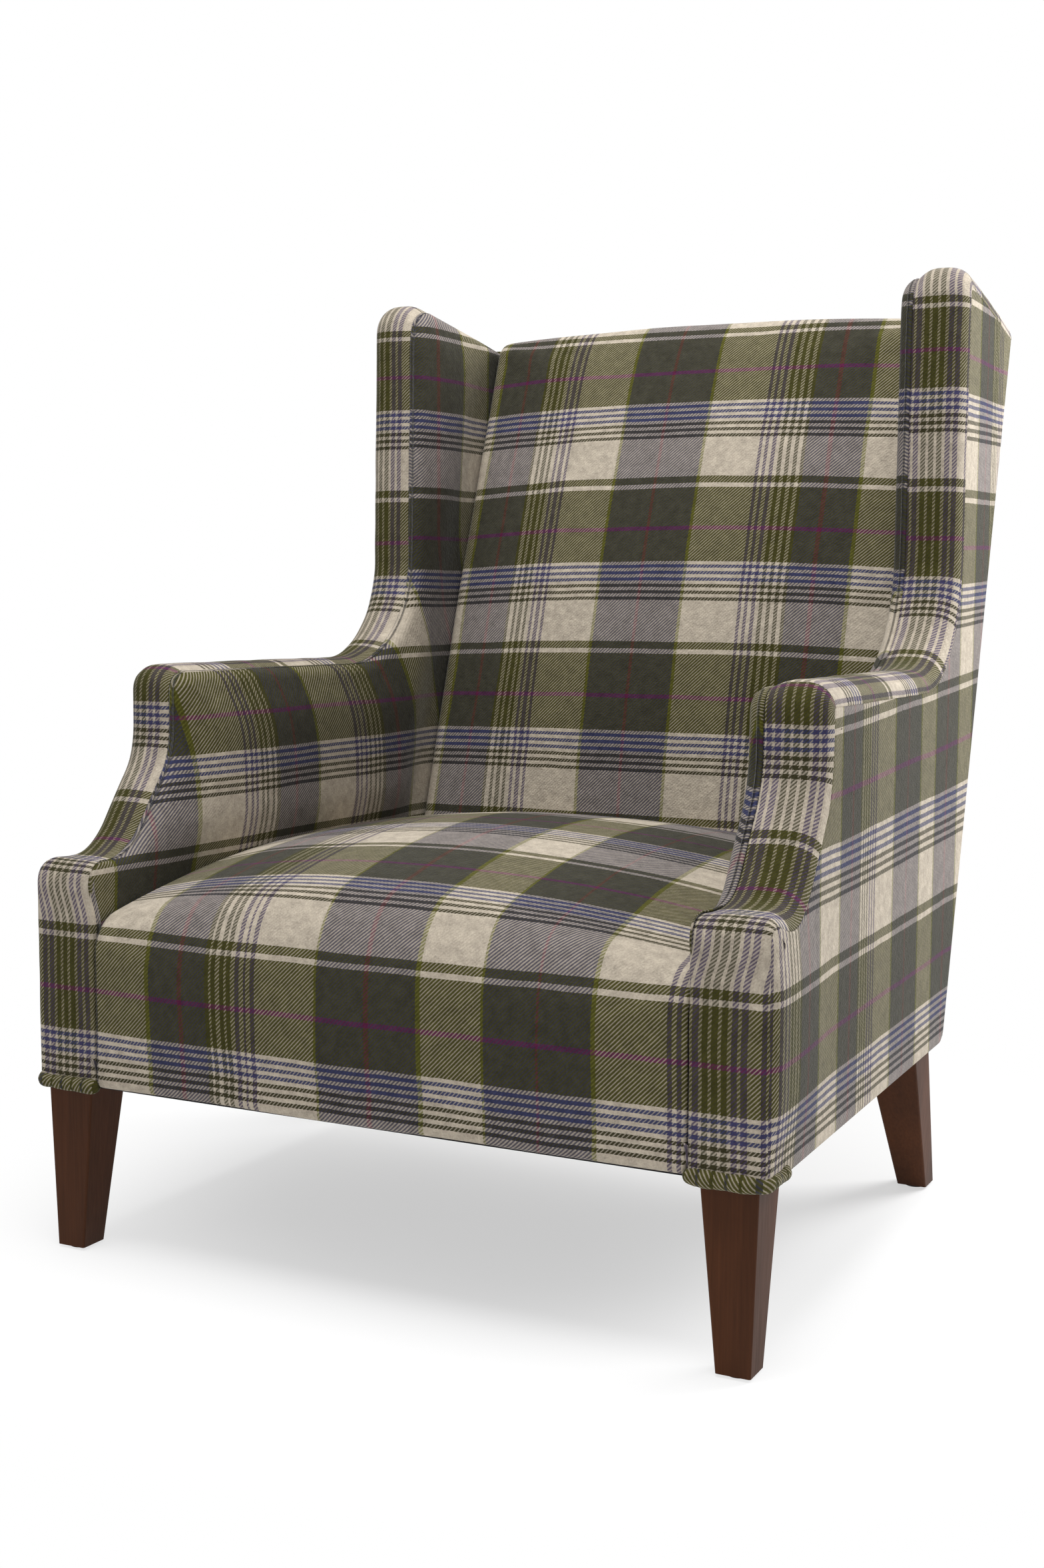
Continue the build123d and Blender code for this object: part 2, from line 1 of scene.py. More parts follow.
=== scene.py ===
"""Fireside chair: brushed wool tartan over padded sides, seat and back, on four walnut legs.

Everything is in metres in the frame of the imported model: the chair faces -Y, +X is its own left, +Z is up.
Places on a side unit are given as run (back from the front of the chair), height and depth (in from the
outside face).
"""
import json
import math

import bpy
import numpy as np
from mathutils import Matrix, Vector, geometry, noise

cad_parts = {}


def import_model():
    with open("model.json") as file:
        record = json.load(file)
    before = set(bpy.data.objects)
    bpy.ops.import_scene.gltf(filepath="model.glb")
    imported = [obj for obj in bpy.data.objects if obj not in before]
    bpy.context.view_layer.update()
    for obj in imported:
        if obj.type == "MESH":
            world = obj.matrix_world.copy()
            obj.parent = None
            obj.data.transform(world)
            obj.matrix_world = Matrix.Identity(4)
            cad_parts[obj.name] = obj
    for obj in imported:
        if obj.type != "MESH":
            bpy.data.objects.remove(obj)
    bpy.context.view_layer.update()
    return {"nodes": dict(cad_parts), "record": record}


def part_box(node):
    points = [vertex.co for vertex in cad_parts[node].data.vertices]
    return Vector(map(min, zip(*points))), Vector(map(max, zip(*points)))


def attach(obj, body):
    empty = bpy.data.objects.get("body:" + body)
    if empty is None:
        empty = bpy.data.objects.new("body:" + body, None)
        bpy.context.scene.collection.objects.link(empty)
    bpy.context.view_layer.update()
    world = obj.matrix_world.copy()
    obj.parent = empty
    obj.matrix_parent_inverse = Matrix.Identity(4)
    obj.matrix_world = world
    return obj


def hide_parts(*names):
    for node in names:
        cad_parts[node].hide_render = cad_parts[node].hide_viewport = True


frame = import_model()

# ---- Dimensions of the chair ----

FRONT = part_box("seat_cover")[0].y
HALF_WIDTH = 0.395
TOE_IN = math.radians(1.26)
RAKE = math.radians(17.9)
BODY_BOTTOM = 0.175
BACK_FOOT = 0.611
WING_BACK_HEIGHT = 1.002
BACK_TOP_RUN = BACK_FOOT + (WING_BACK_HEIGHT - BODY_BOTTOM) * math.tan(RAKE)
SIDE_THICKNESS = 0.074
CLOTH = 0.002  # thickness of a cover's solid
VISIBLE_CLOTH = 0.8 * CLOTH

# Run, height and corner radius of the side unit's outline, from the front bottom corner upwards.
SIDE_CORNERS = [
    (0, BODY_BOTTOM, 0),
    (0, 0.404, 0.022),
    (0.070, 0.404, 0.070),
    (0.144, 0.505, 0.080),
    (0.144, 0.597, 0.028),
    (0.624, 0.593, 0.125),
    (0.633, 1.041, 0.036),
    (BACK_TOP_RUN, WING_BACK_HEIGHT, 0),
    (BACK_FOOT, BODY_BOTTOM, 0.020),
]
STEP_CORNER, ARM_CORNER, WING_CORNER = 1, 4, 6  # corners at the step, the arm's front and the wing's front
LEAST_RADIUS = 0.0008  # of a corner that is moved in
STRIP_EDGES = 7  # the first edges of the outline carry the border strip
POINT_STEP = 0.008  # spacing of points along the outline

OUTER_ROLL = 0.0248  # radius of the border strip's rolled outer edge
OUTER_SEAM = 0.0235  # outline to the seam with the outside panel
FRONT_ROLL = 0.010  # the same two on the lower front, where the corner is crisp
FRONT_SEAM = 0.004
INNER_ROLL = 0.013  # radius of the inside panel's rolled edge
FRONT_INNER_ROLL = 0.0012  # on the lower front the strip reaches the seat
SEAM_DEPTH = 0.0022  # how far both cloths turn in at a seam
FRONT_SEAM_DEPTH = 0.0007
STRIP_CROWN = 0.0016  # how far the strip's inner edge lies below its middle
CREASE = 0.0005  # gap between two cloths that meet in a crease
WING_DROOP = 0.0015  # how far the wing's rear top corner is pulled down
DROOP_RUN = 0.085
DROOP_HEIGHTS = (0.93, 0.99)


# ---- Helpers for meshes ----

def smooth(value, low, high):
    """Smooth step from 0 at low to 1 at high."""
    share = np.clip((np.asarray(value, float) - low) / (high - low), 0, 1)
    return share * share * (3 - 2 * share)


def unit(way):
    """Vectors scaled to length 1; their last axis holds the coordinates."""
    return way / np.linalg.norm(way, axis=-1, keepdims=True)


def distances(points):
    """Distance along a polyline to each of its points."""
    return np.concatenate([[0], np.cumsum(np.linalg.norm(np.diff(points, axis=0), axis=1))])


def evenly(points, step_count):
    """Points at even distances along a polyline, and the distances."""
    points = np.array(points)
    lengths = distances(points)
    at = np.linspace(0, lengths[-1], step_count + 1)
    return np.stack([np.interp(at, lengths, column) for column in points.T], axis=-1), at


def new_object(name, data):
    """An object in the scene that holds a mesh, a lamp or a camera."""
    holder = bpy.data.objects.new(name, data)
    bpy.context.scene.collection.objects.link(holder)
    return holder


def new_piece(name, points, faces, uvs):
    """A mesh object with one cloth coordinate, in metres, for every corner of every face."""
    mesh = bpy.data.meshes.new(name)
    mesh.from_pydata([tuple(p) for p in points], [], [tuple(f) for f in faces])
    layer = mesh.uv_layers.new(name="cloth")
    flat = np.array([uv for face in uvs for uv in face], dtype=np.float32)
    layer.data.foreach_set("uv", flat.ravel())
    mesh.polygons.foreach_set("use_smooth", [True] * len(mesh.polygons))
    mesh.validate()
    return new_object(name, mesh)


def grid_faces(rows, columns):
    """Quads of a grid whose points are numbered row by row."""
    return [
        (r * columns + c, r * columns + c + 1, (r + 1) * columns + c + 1, (r + 1) * columns + c)
        for r in range(rows - 1)
        for c in range(columns - 1)
    ]


def grid_piece(name, points, uv):
    """A piece from arrays of points and cloth coordinates, both rows by columns."""
    rows, columns, _ = points.shape
    faces = grid_faces(rows, columns)
    flat_uv = uv.reshape(-1, 2)
    return new_piece(name, points.reshape(-1, 3), faces, [[flat_uv[i] for i in f] for f in faces])


def coordinates(piece, kind="co"):
    """The places of the piece's points, or their normals, as an array."""
    values = np.empty(len(piece.data.vertices) * 3)
    piece.data.vertices.foreach_get(kind, values)
    return values.reshape(-1, 3)


def set_coordinates(piece, points):
    """Move the piece's points to the rows of an array."""
    piece.data.vertices.foreach_set("co", points.ravel())
    piece.data.update()


CLOTH_SETTINGS = {
    "quality": 5,
    "mass": 0.3,
    "tension_stiffness": 12,
    "compression_stiffness": 12,
    "shear_stiffness": 4,
    "bending_stiffness": 0.8,
    "air_damping": 2,
    "use_pressure": True,
    "uniform_pressure_force": 1.2,
}
BILLOW_FRAMES = 16
BILLOW_CAP = 0.006  # no point moves further than this


def billow(piece, grid, sides, foot, head):
    """Blow a grid of cloth up gently, with some columns at its sides and rows at its ends pinned."""
    pinned = np.zeros(grid, bool)
    pinned[:, :sides] = pinned[:, -sides:] = True
    pinned[:foot] = pinned[-head:] = True
    start = coordinates(piece)
    group = piece.vertex_groups.new(name="pinned")
    group.add([int(i) for i in np.flatnonzero(pinned)], 1.0, "REPLACE")
    cloth = piece.modifiers.new("cloth", "CLOTH")
    for name, value in CLOTH_SETTINGS.items():
        setattr(cloth.settings, name, value)
    cloth.settings.vertex_group_mass = group.name
    cloth.settings.effector_weights.gravity = 0
    cloth.collision_settings.use_collision = False
    cloth.point_cache.frame_start = 1
    cloth.point_cache.frame_end = BILLOW_FRAMES
    for number in range(1, BILLOW_FRAMES + 1):
        bpy.context.scene.frame_set(number)
    move = coordinates(piece.evaluated_get(bpy.context.evaluated_depsgraph_get())) - start
    length = np.linalg.norm(move, axis=1, keepdims=True)
    limited = move / np.maximum(length, 1e-9) * BILLOW_CAP * np.tanh(length / BILLOW_CAP)
    piece.modifiers.remove(cloth)
    piece.vertex_groups.remove(group)
    bpy.context.scene.frame_set(1)
    set_coordinates(piece, start + limited)


def ripple(piece, size, wave, seed):
    """Shallow unevenness of stuffed cloth, along the piece's normals."""
    points = coordinates(piece)
    shift = Vector((seed, seed * 0.7, seed * 1.3))
    heights = np.array([noise.noise(Vector(p) / wave + shift) for p in points])
    set_coordinates(piece, points + coordinates(piece, "normal") * (heights * size)[:, None])


def finish_cloth(piece, material):
    """Subdivide the cloth and give it its thickness and its material."""
    subdivision = piece.modifiers.new("subdivision", "SUBSURF")
    subdivision.levels = subdivision.render_levels = 1
    thickness = piece.modifiers.new("thickness", "SOLIDIFY")
    thickness.thickness = VISIBLE_CLOTH
    thickness.offset = -1
    piece.data.materials.append(material)
    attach(piece, "root")


# ---- The outline of a side unit ----

def moved_corners(strip, back, bottom):
    """The outline's corners and radii with its strip, back and bottom edges moved in."""
    insets = [strip] * STRIP_EDGES + [back, bottom]
    edges = []
    for i, (run, height, _) in enumerate(SIDE_CORNERS):
        after = SIDE_CORNERS[(i + 1) % len(SIDE_CORNERS)]
        way = np.array([after[0] - run, after[1] - height])
        way = way / np.linalg.norm(way)
        inward = np.array([way[1], -way[0]])
        edges.append((np.array([run, height]) + inward * insets[i], way))
    corners = []
    for i, corner in enumerate(SIDE_CORNERS):
        (before, way_in), (start, way_out) = edges[i - 1], edges[i]
        turn = way_in[0] * way_out[1] - way_in[1] * way_out[0]
        gap = start - before
        along = (gap[0] * way_out[1] - gap[1] * way_out[0]) / turn
        inset = max(insets[i - 1], insets[i])
        radius = corner[2]
        if radius:
            radius = max(radius - inset, LEAST_RADIUS) if turn < 0 else radius + inset
        corners.append((before + way_in * along, radius))
    return corners


def outline_counts():
    """How many steps each straight and each arc of the outline is divided into."""
    counts = []
    corners = moved_corners(0, 0, 0)
    for i, (point, radius) in enumerate(corners):
        before, after = corners[i - 1][0], corners[(i + 1) % len(corners)][0]
        turn = corner_turn(before, point, after)
        arc = max(4, round(radius * turn / POINT_STEP)) if radius else 0
        straight = max(2, round(np.linalg.norm(after - point) / POINT_STEP) - arc // 2)
        counts.append((arc, straight))
    return counts


def corner_turn(before, point, after):
    """Angle by which the outline turns at a corner."""
    return math.acos(np.clip(unit(point - before) @ unit(after - point), -1, 1))


COUNTS = outline_counts()


def ring(strip=0.0, back=0.0, bottom=0.0):
    """Points along the moved outline, always the same number, starting at the front bottom corner."""
    corners = moved_corners(strip, back, bottom)
    bends = []
    for i, (point, radius) in enumerate(corners):
        before, after = corners[i - 1][0], corners[(i + 1) % len(corners)][0]
        turn = corner_turn(before, point, after)
        reach = radius * math.tan(turn / 2)
        towards, away = unit(before - point), unit(after - point)
        start, end = point + towards * reach, point + away * reach
        centre = point + unit(towards + away) * radius / math.cos(turn / 2)
        arc = COUNTS[i][0]
        bend = [] if arc else [point]
        for step in range(arc + 1 if arc else 0):
            angle = step / arc * turn
            parts = math.sin(turn - angle) * (start - centre) + math.sin(angle) * (end - centre)
            bend.append(centre + parts / math.sin(turn))
        bends.append((bend, end))
    points = []
    for i, (bend, end) in enumerate(bends):
        points.extend(bend)
        following = bends[(i + 1) % len(bends)][0][0]
        steps = COUNTS[i][1]
        points.extend(end + (following - end) * step / steps for step in range(1, steps))
    return np.array(points)


OUTLINE = ring()
STRIP_COUNT = sum(arc + straight for arc, straight in COUNTS[:STRIP_EDGES]) + 1
PATH = distances(OUTLINE)


def corner_path(index):
    """Distance along the outline to the middle of a corner's arc."""
    before = sum(arc + straight for arc, straight in COUNTS[:index])
    return PATH[before + COUNTS[index][0] // 2]


STEP_PATH = corner_path(STEP_CORNER)
ARM_FRONT_PATH = corner_path(ARM_CORNER) + 0.009  # where the strip's two lengths are sewn together
WING_PATH = corner_path(WING_CORNER)


def varied_ring(strip, back, bottom):
    """A ring whose strip edges are moved in by a different distance at each point."""
    fine = 0.001
    low = np.floor(strip.min() / fine)
    levels = np.arange(low, np.ceil(strip.max() / fine) + 2)
    stack = np.array([ring(level * fine, back, bottom) for level in levels])
    place = strip / fine - low
    lower = np.clip(place.astype(int), 0, len(levels) - 2)
    share = (place - lower)[:, None]
    index = np.arange(len(strip))
    return stack[lower, index] * (1 - share) + stack[lower + 1, index] * share


def on_side(run, height, depth, side):
    """Place in the room of points on a side unit; side is 1 for +X and -1 for -X."""
    x = HALF_WIDTH - run * math.sin(TOE_IN) - depth * math.cos(TOE_IN)
    y = FRONT + run * math.cos(TOE_IN) - depth * math.sin(TOE_IN)
    droop = WING_DROOP * smooth(run, BACK_TOP_RUN - DROOP_RUN, BACK_TOP_RUN) * smooth(height, *DROOP_HEIGHTS)
    return np.stack([side * x, y, height - droop + 0 * x], axis=-1)


def along_the_strip(lower, upper):
    """A measure that has one value on the lower front and another from the step onwards."""
    return lower + (upper - lower) * smooth(PATH, STEP_PATH - 0.005, STEP_PATH + 0.070)


ROLL = along_the_strip(FRONT_ROLL, OUTER_ROLL)
SEAM = along_the_strip(FRONT_SEAM, OUTER_SEAM)
INNER = along_the_strip(FRONT_INNER_ROLL, INNER_ROLL)
SINK = along_the_strip(FRONT_SEAM_DEPTH, SEAM_DEPTH)

# Below the step, beside the seat, both cloths turn in further.
TUCK = 0.012 * (1 - smooth(PATH, STEP_PATH - 0.06, STEP_PATH - 0.015))

# The edge between strip and inside panel lies lower on the arm and at the wing's top.
ARM_TOP = smooth(PATH, ARM_FRONT_PATH - 0.03, ARM_FRONT_PATH + 0.02) * (1 - smooth(PATH, 0.83, 0.93))
WING_TOP = smooth(PATH, WING_PATH - 0.05, WING_PATH + 0.01)
SHOULDER = along_the_strip(0.0, 0.0015) + 0.005 * ARM_TOP + 0.008 * WING_TOP


def outer_depth(inset, radius):
    """Depth of the rolled outer edge at an inset from the outline."""
    inside = np.clip(radius - inset, 0, radius)
    return radius - np.sqrt(radius**2 - inside**2)


# ---- Node helpers ----

def linear(red, green, blue):
    """Scene colour of an sRGB colour from 0 to 255."""
    def channel(value):
        share = value / 255
        return share / 12.92 if share <= 0.04045 else ((share + 0.055) / 1.055) ** 2.4
    return (channel(red), channel(green), channel(blue), 1.0)


class Nodes:
    """The node tree of a material or world, with short calls for the nodes that they share."""

    def __init__(self, block, shader="Principled BSDF"):
        block.use_nodes = True
        self.block = block
        self.tree = block.node_tree
        self.shader = self.tree.nodes[shader]

    def new(self, kind, **settings):
        node = self.tree.nodes.new(kind)
        for name, value in settings.items():
            setattr(node, name, value)
        return node

    def plug(self, socket, value):
        if isinstance(value, bpy.types.NodeSocket):
            self.tree.links.new(value, socket)
        else:
            socket.default_value = value

    def feed(self, node, inputs):
        """Give a node's inputs a value or a socket each, by name."""
        for name, value in inputs.items():
            self.plug(node.inputs[name], value)
        return node

    def math(self, operation, *values):
        node = self.new("ShaderNodeMath", operation=operation)
        for socket, value in zip(node.inputs, values):
            self.plug(socket, value)
        return node.outputs[0]

    def mix(self, share, first, second, blend="MIX"):
        node = self.new("ShaderNodeMix", data_type="RGBA", blend_type=blend)
        self.plug(node.inputs[0], share)
        self.plug(node.inputs[6], first)
        self.plug(node.inputs[7], second)
        return node.outputs[2]

    def noise(self, vector, scale, detail=2.0, roughness=0.5, stretch=None):
        if stretch:
            mapping = self.new("ShaderNodeMapping")
            vector = self.feed(mapping, {"Vector": vector, "Scale": stretch}).outputs[0]
        node = self.new("ShaderNodeTexNoise")
        self.feed(node, {"Vector": vector, "Scale": scale, "Detail": detail, "Roughness": roughness})
        return node.outputs[0]

    def stray(self, vector, scale, size, detail=2.0):
        """Noise about zero, of a size in metres."""
        return self.math("MULTIPLY", self.math("SUBTRACT", self.noise(vector, scale, detail), 0.5), size)

    def paleness(self, colour):
        node = self.new("ShaderNodeRGBToBW")
        self.plug(node.inputs[0], colour)
        return node.outputs[0]

    def shaded(self, colour, factor):
        """The colour times a factor."""
        grey = self.new("ShaderNodeCombineXYZ")
        for socket in grey.inputs:
            self.plug(socket, factor)
        return self.mix(1.0, colour, grey.outputs[0], blend="MULTIPLY")

    def bump(self, height, strength, distance):
        node = self.new("ShaderNodeBump")
        self.feed(node, {"Strength": strength, "Distance": distance, "Height": height})
        self.plug(self.shader.inputs["Normal"], node.outputs[0])

    def bands(self, position, stops):
        """Colour at a position along a list of (start, colour), both in metres, split over several ramps."""
        most = 30  # a ramp holds no more than 32
        result = None
        for first in range(0, len(stops), most):
            part = stops[first:first + most]
            low = part[0][0]
            high = part[-1][0] + 0.05
            ramp = self.new("ShaderNodeValToRGB")
            ramp.color_ramp.interpolation = "CONSTANT"
            elements = ramp.color_ramp.elements
            elements[0].position = 0
            elements[0].color = part[0][1]
            elements.remove(elements[1])
            for start, colour in part[1:]:
                element = elements.new((start - low) / (high - low))
                element.color = colour
            share = self.math("DIVIDE", self.math("SUBTRACT", position, low), high - low)
            self.plug(ramp.inputs[0], share)
            if result is None:
                result = ramp.outputs[0]
            else:
                result = self.mix(self.math("GREATER_THAN", position, low), result, ramp.outputs[0])
        return result


# ---- The tartan ----

CREAM = linear(168, 158, 143)
# The same cream darkened by painted shade, for the gaps between the border strips' lines.
SHADED_STRIP_CREAM = linear(152, 142, 128)
OLIVE = linear(60, 58, 19)
DEEP_OLIVE = linear(51, 48, 30)
MOSS = linear(54, 52, 35)
SLATE = linear(50, 49, 67)
NAVY = linear(44, 42, 60)
BLUE = linear(52, 56, 86)
PURPLE = linear(62, 52, 78)
MAGENTA = linear(80, 30, 58)
LIME = linear(94, 94, 44)

LINE = 0.00445
WEFT_LINE = 0.004025
TWILL_PITCH = 0.0042
WANDER = 0.004  # how far whole bands stray from straight
FRAY = 0.0017  # how far fibres cross the edge of a band
NAP_SCALE = 520.0
CLOUD_SCALE = 95.0
NUB_SCALE = 260.0


def lines(colours, ground=CREAM, width=LINE, gap=None):
    """Narrow lines of these colours, each followed by the ground."""
    return [band for colour in colours for band in ((colour, width), (ground, gap or width))]


STRIPES = lines([MOSS] * 4 + [PURPLE] * 3)
CREAM_BAND = [(CREAM, 0.0626)]
WIDE_DARK = [(LIME, 0.0045), (SLATE, 0.0505), (MAGENTA, 0.005), (SLATE, 0.0505), (LIME, 0.0045)]
NARROW_DARK = [(LIME, 0.0045), (SLATE, 0.0355), (MAGENTA, 0.005), (SLATE, 0.0258)]
WEFT = (
    lines([DEEP_OLIVE] * 3 + [BLUE] * 3, width=WEFT_LINE)
    + [(OLIVE, 0.0393), (MAGENTA, 0.005), (OLIVE, 0.0487), (CREAM, 0.0055), (OLIVE, 0.0095), (CREAM, 0.0512)]
)
WEFT_START = 0.1857  # cloth coordinate of the lowest line on the front of the seat
WEFT_PERIOD = sum(width for _, width in WEFT)


def flipped(bands):
    """The same bands in the opposite order."""
    return bands[::-1]


def for_side(bands, start, side):
    """Bands and their start for one side unit; the other has the bands in the opposite order."""
    if side > 0:
        return bands, start
    return flipped(bands), -start - sum(width for _, width in bands)


def stops(bands, start=0.0):
    """List of (start, colour) from a list of (colour, width)."""
    result = []
    for colour, width in bands:
        result.append((start, colour))
        start += width
    return result


def tartan(name, warp, warp_start=0.0):
    """Brushed wool twill whose warp bands start at one cloth coordinate."""
    nodes = Nodes(bpy.data.materials.new(name))
    cloth_uv = nodes.new("ShaderNodeUVMap", uv_map="cloth").outputs[0]
    place = nodes.new("ShaderNodeTexCoord").outputs["Object"]
    split = nodes.new("ShaderNodeSeparateXYZ")
    nodes.plug(split.inputs[0], cloth_uv)
    wander = nodes.stray(place, 9.0, WANDER)
    fray = nodes.stray(place, 900.0, FRAY, detail=3.0)
    across = nodes.math("ADD", nodes.math("ADD", split.outputs[0], wander), fray)
    along = nodes.math("ADD", nodes.math("ADD", split.outputs[1], wander), fray)
    warp_colour = nodes.bands(across, stops(warp, warp_start))
    turn = nodes.math("DIVIDE", nodes.math("SUBTRACT", along, WEFT_START), WEFT_PERIOD)
    turn = nodes.math("MULTIPLY", nodes.math("FRACT", turn), WEFT_PERIOD)
    weft_colour = nodes.bands(turn, stops(WEFT))
    nap = nodes.noise(cloth_uv, NAP_SCALE, 4.0, 0.7)
    cloud = nodes.noise(place, CLOUD_SCALE, 4.0, 0.65)
    nub = nodes.noise(place, NUB_SCALE, 3.0, 0.6)

    # The twill's ribs run aslant, and the darker of the two yarns takes the larger share.
    slant = nodes.math("DIVIDE", nodes.math("SUBTRACT", across, along), TWILL_PITCH)
    slant = nodes.math("MULTIPLY_ADD", nap, 0.25, slant)
    phase = nodes.math("SINE", nodes.math("MULTIPLY", slant, 2 * math.pi))
    contrast = nodes.math("SUBTRACT", nodes.paleness(warp_colour), nodes.paleness(weft_colour))
    lead = nodes.math("MULTIPLY_ADD", contrast, 0.75, 0.2)
    twill = nodes.new("ShaderNodeClamp")
    nodes.plug(twill.inputs[0], nodes.math("MULTIPLY_ADD", nodes.math("ADD", phase, lead), 1.1, 0.5))
    least = nodes.math("MULTIPLY_ADD", contrast, 0.5, 0.28)
    share = nodes.math("MULTIPLY_ADD", twill.outputs[0], 0.54, least)

    colour = nodes.mix(share, warp_colour, weft_colour)
    value = nodes.math("MULTIPLY_ADD", nap, 0.9, nodes.math("MULTIPLY_ADD", cloud, 1.0, 0.05))
    nodes.feed(nodes.shader, {
        "Base Color": nodes.shaded(colour, value),
        "Roughness": nodes.math("MULTIPLY_ADD", nap, 0.15, 0.85),
        "Specular IOR Level": 0.06,
        "Sheen Weight": 0.15,
        "Sheen Roughness": 0.3,
    })
    height = nodes.math("MULTIPLY_ADD", phase, 0.12, nodes.math("MULTIPLY", nap, 0.9))
    nodes.bump(nodes.math("MULTIPLY_ADD", nub, 1.6, height), strength=0.6, distance=0.001)
    return nodes.block


# ---- Side units ----

FRONT_STRIP_GAIN = 0.014  # cloth eased in round the S-curve
S_CURVE = 0.13  # its length along the outline, from the step
LOWER_STRIP_SHIFT = {1: 0.006, -1: 0.0}
TOP_STRIP_GAIN = 0.011  # cloth eased in over the top of the wing
WING_TURN = 0.11  # the length over which it is, up to the wing's front corner
TOP_STRIP_OFFSET = 0.049  # cloth coordinate of the upper length, less its distance along the outline
JOIN_WIDTH = 0.0022  # groove where the two lengths are sewn together
JOIN_DEPTH = 0.0015
FLAT_COLUMNS = 9  # columns of points across the strip and round its roll
ROLL_COLUMNS = 6
HIDDEN_EDGE = 0.003  # how far the cloth's edges run on behind a seam


def strip_section(count):
    """Depths and insets of the strip's columns of points, from its inner edge to the outside seam."""
    roll, seam, sink, shoulder = (measure[:count] for measure in (ROLL, SEAM, SINK, SHOULDER))
    inner = SIDE_THICKNESS - INNER[:count]
    columns = [
        (inner + 0.0015, shoulder + SEAM_DEPTH + HIDDEN_EDGE + 0.8 * TUCK[:count]),
        (inner + 0.0012, shoulder + SEAM_DEPTH),
    ]
    for step in range(FLAT_COLUMNS + 1):
        share = step / FLAT_COLUMNS
        fall = max(1 - 1.6 * share, 0) ** 2
        columns.append((inner + (roll - inner) * share, (STRIP_CROWN + shoulder) * fall))
    last_angle = np.arccos(np.clip(1 - np.minimum(seam, roll) / roll, -1, 1))
    for step in range(1, ROLL_COLUMNS + 1):
        angle = last_angle * step / ROLL_COLUMNS
        columns.append((roll - roll * np.sin(angle), roll - roll * np.cos(angle)))
    end, reached = columns[-1]
    columns.append((end, np.maximum(seam, reached + 0.0003)))
    columns.append((end + sink * 0.6, seam + 0.0012))
    columns.append((end + sink + HIDDEN_EDGE, seam + 0.0012))
    return np.array(columns).transpose(1, 2, 0)


def border_strip(side, name):
    """The padded strip that runs up the front, over the arm and up the wing, in two sewn lengths."""
    count = STRIP_COUNT
    depths, insets = strip_section(count)
    places = []
    for column in insets.T:
        full = np.zeros(len(OUTLINE))
        full[:count] = column
        places.append(varied_ring(full, 0.0, 0.0)[:count])
    groove = np.exp(-((PATH[:count] - ARM_FRONT_PATH) / JOIN_WIDTH) ** 2) * JOIN_DEPTH
    inward = unit(ring(0.001)[:count] - OUTLINE[:count])
    places = np.array(places).transpose(1, 0, 2) + inward[:, None, :] * groove[:, None, None]
    points = on_side(places[..., 0], places[..., 1], depths, side)
    across_step = np.hypot(np.diff(depths, axis=1), np.diff(insets, axis=1))
    across = np.concatenate([np.zeros((count, 1)), np.cumsum(across_step, axis=1)], axis=1)
    if side < 0:
        points, across = points[:, ::-1], -across[:, ::-1]
    path = np.repeat(PATH[:count, None], depths.shape[1], axis=1)
    front = path + BODY_BOTTOM + FRONT_STRIP_GAIN * smooth(path, STEP_PATH, STEP_PATH + S_CURVE)
    lower = np.stack([across - side * LOWER_STRIP_SHIFT[side], front], axis=-1).reshape(-1, 2)
    eased = TOP_STRIP_GAIN * smooth(path, WING_PATH - WING_TURN, WING_PATH)
    upper = np.stack([across, path + TOP_STRIP_OFFSET + eased], axis=-1).reshape(-1, 2)
    faces = grid_faces(count, depths.shape[1])
    seam_point = int(np.searchsorted(PATH, ARM_FRONT_PATH)) * depths.shape[1]
    cloth = [[(lower if face[0] < seam_point else upper)[i] for i in face] for face in faces]
    return new_piece(name, points.reshape(-1, 3), faces, cloth)


def inside_polygon(points, polygon):
    """Which points lie inside a closed polygon."""
    inside = np.zeros(len(points), bool)
    before = polygon[-1]
    for corner in polygon:
        crosses = (corner[1] > points[:, 1]) != (before[1] > points[:, 1])
        slope = (before[0] - corner[0]) / (before[1] - corner[1] + 1e-12)
        inside ^= crosses & (points[:, 0] < slope * (points[:, 1] - corner[1]) + corner[0])
        before = corner
    return inside


def distance_to(points, polygon):
    """Distance from each point to a closed polygon."""
    best = np.full(len(points), 1e9)
    before = polygon[-1]
    for corner in polygon:
        way = corner - before
        share = np.clip(((points - before) @ way) / max(way @ way, 1e-12), 0, 1)
        best = np.minimum(best, np.linalg.norm(points - before - share[:, None] * way, axis=1))
        before = corner
    return best


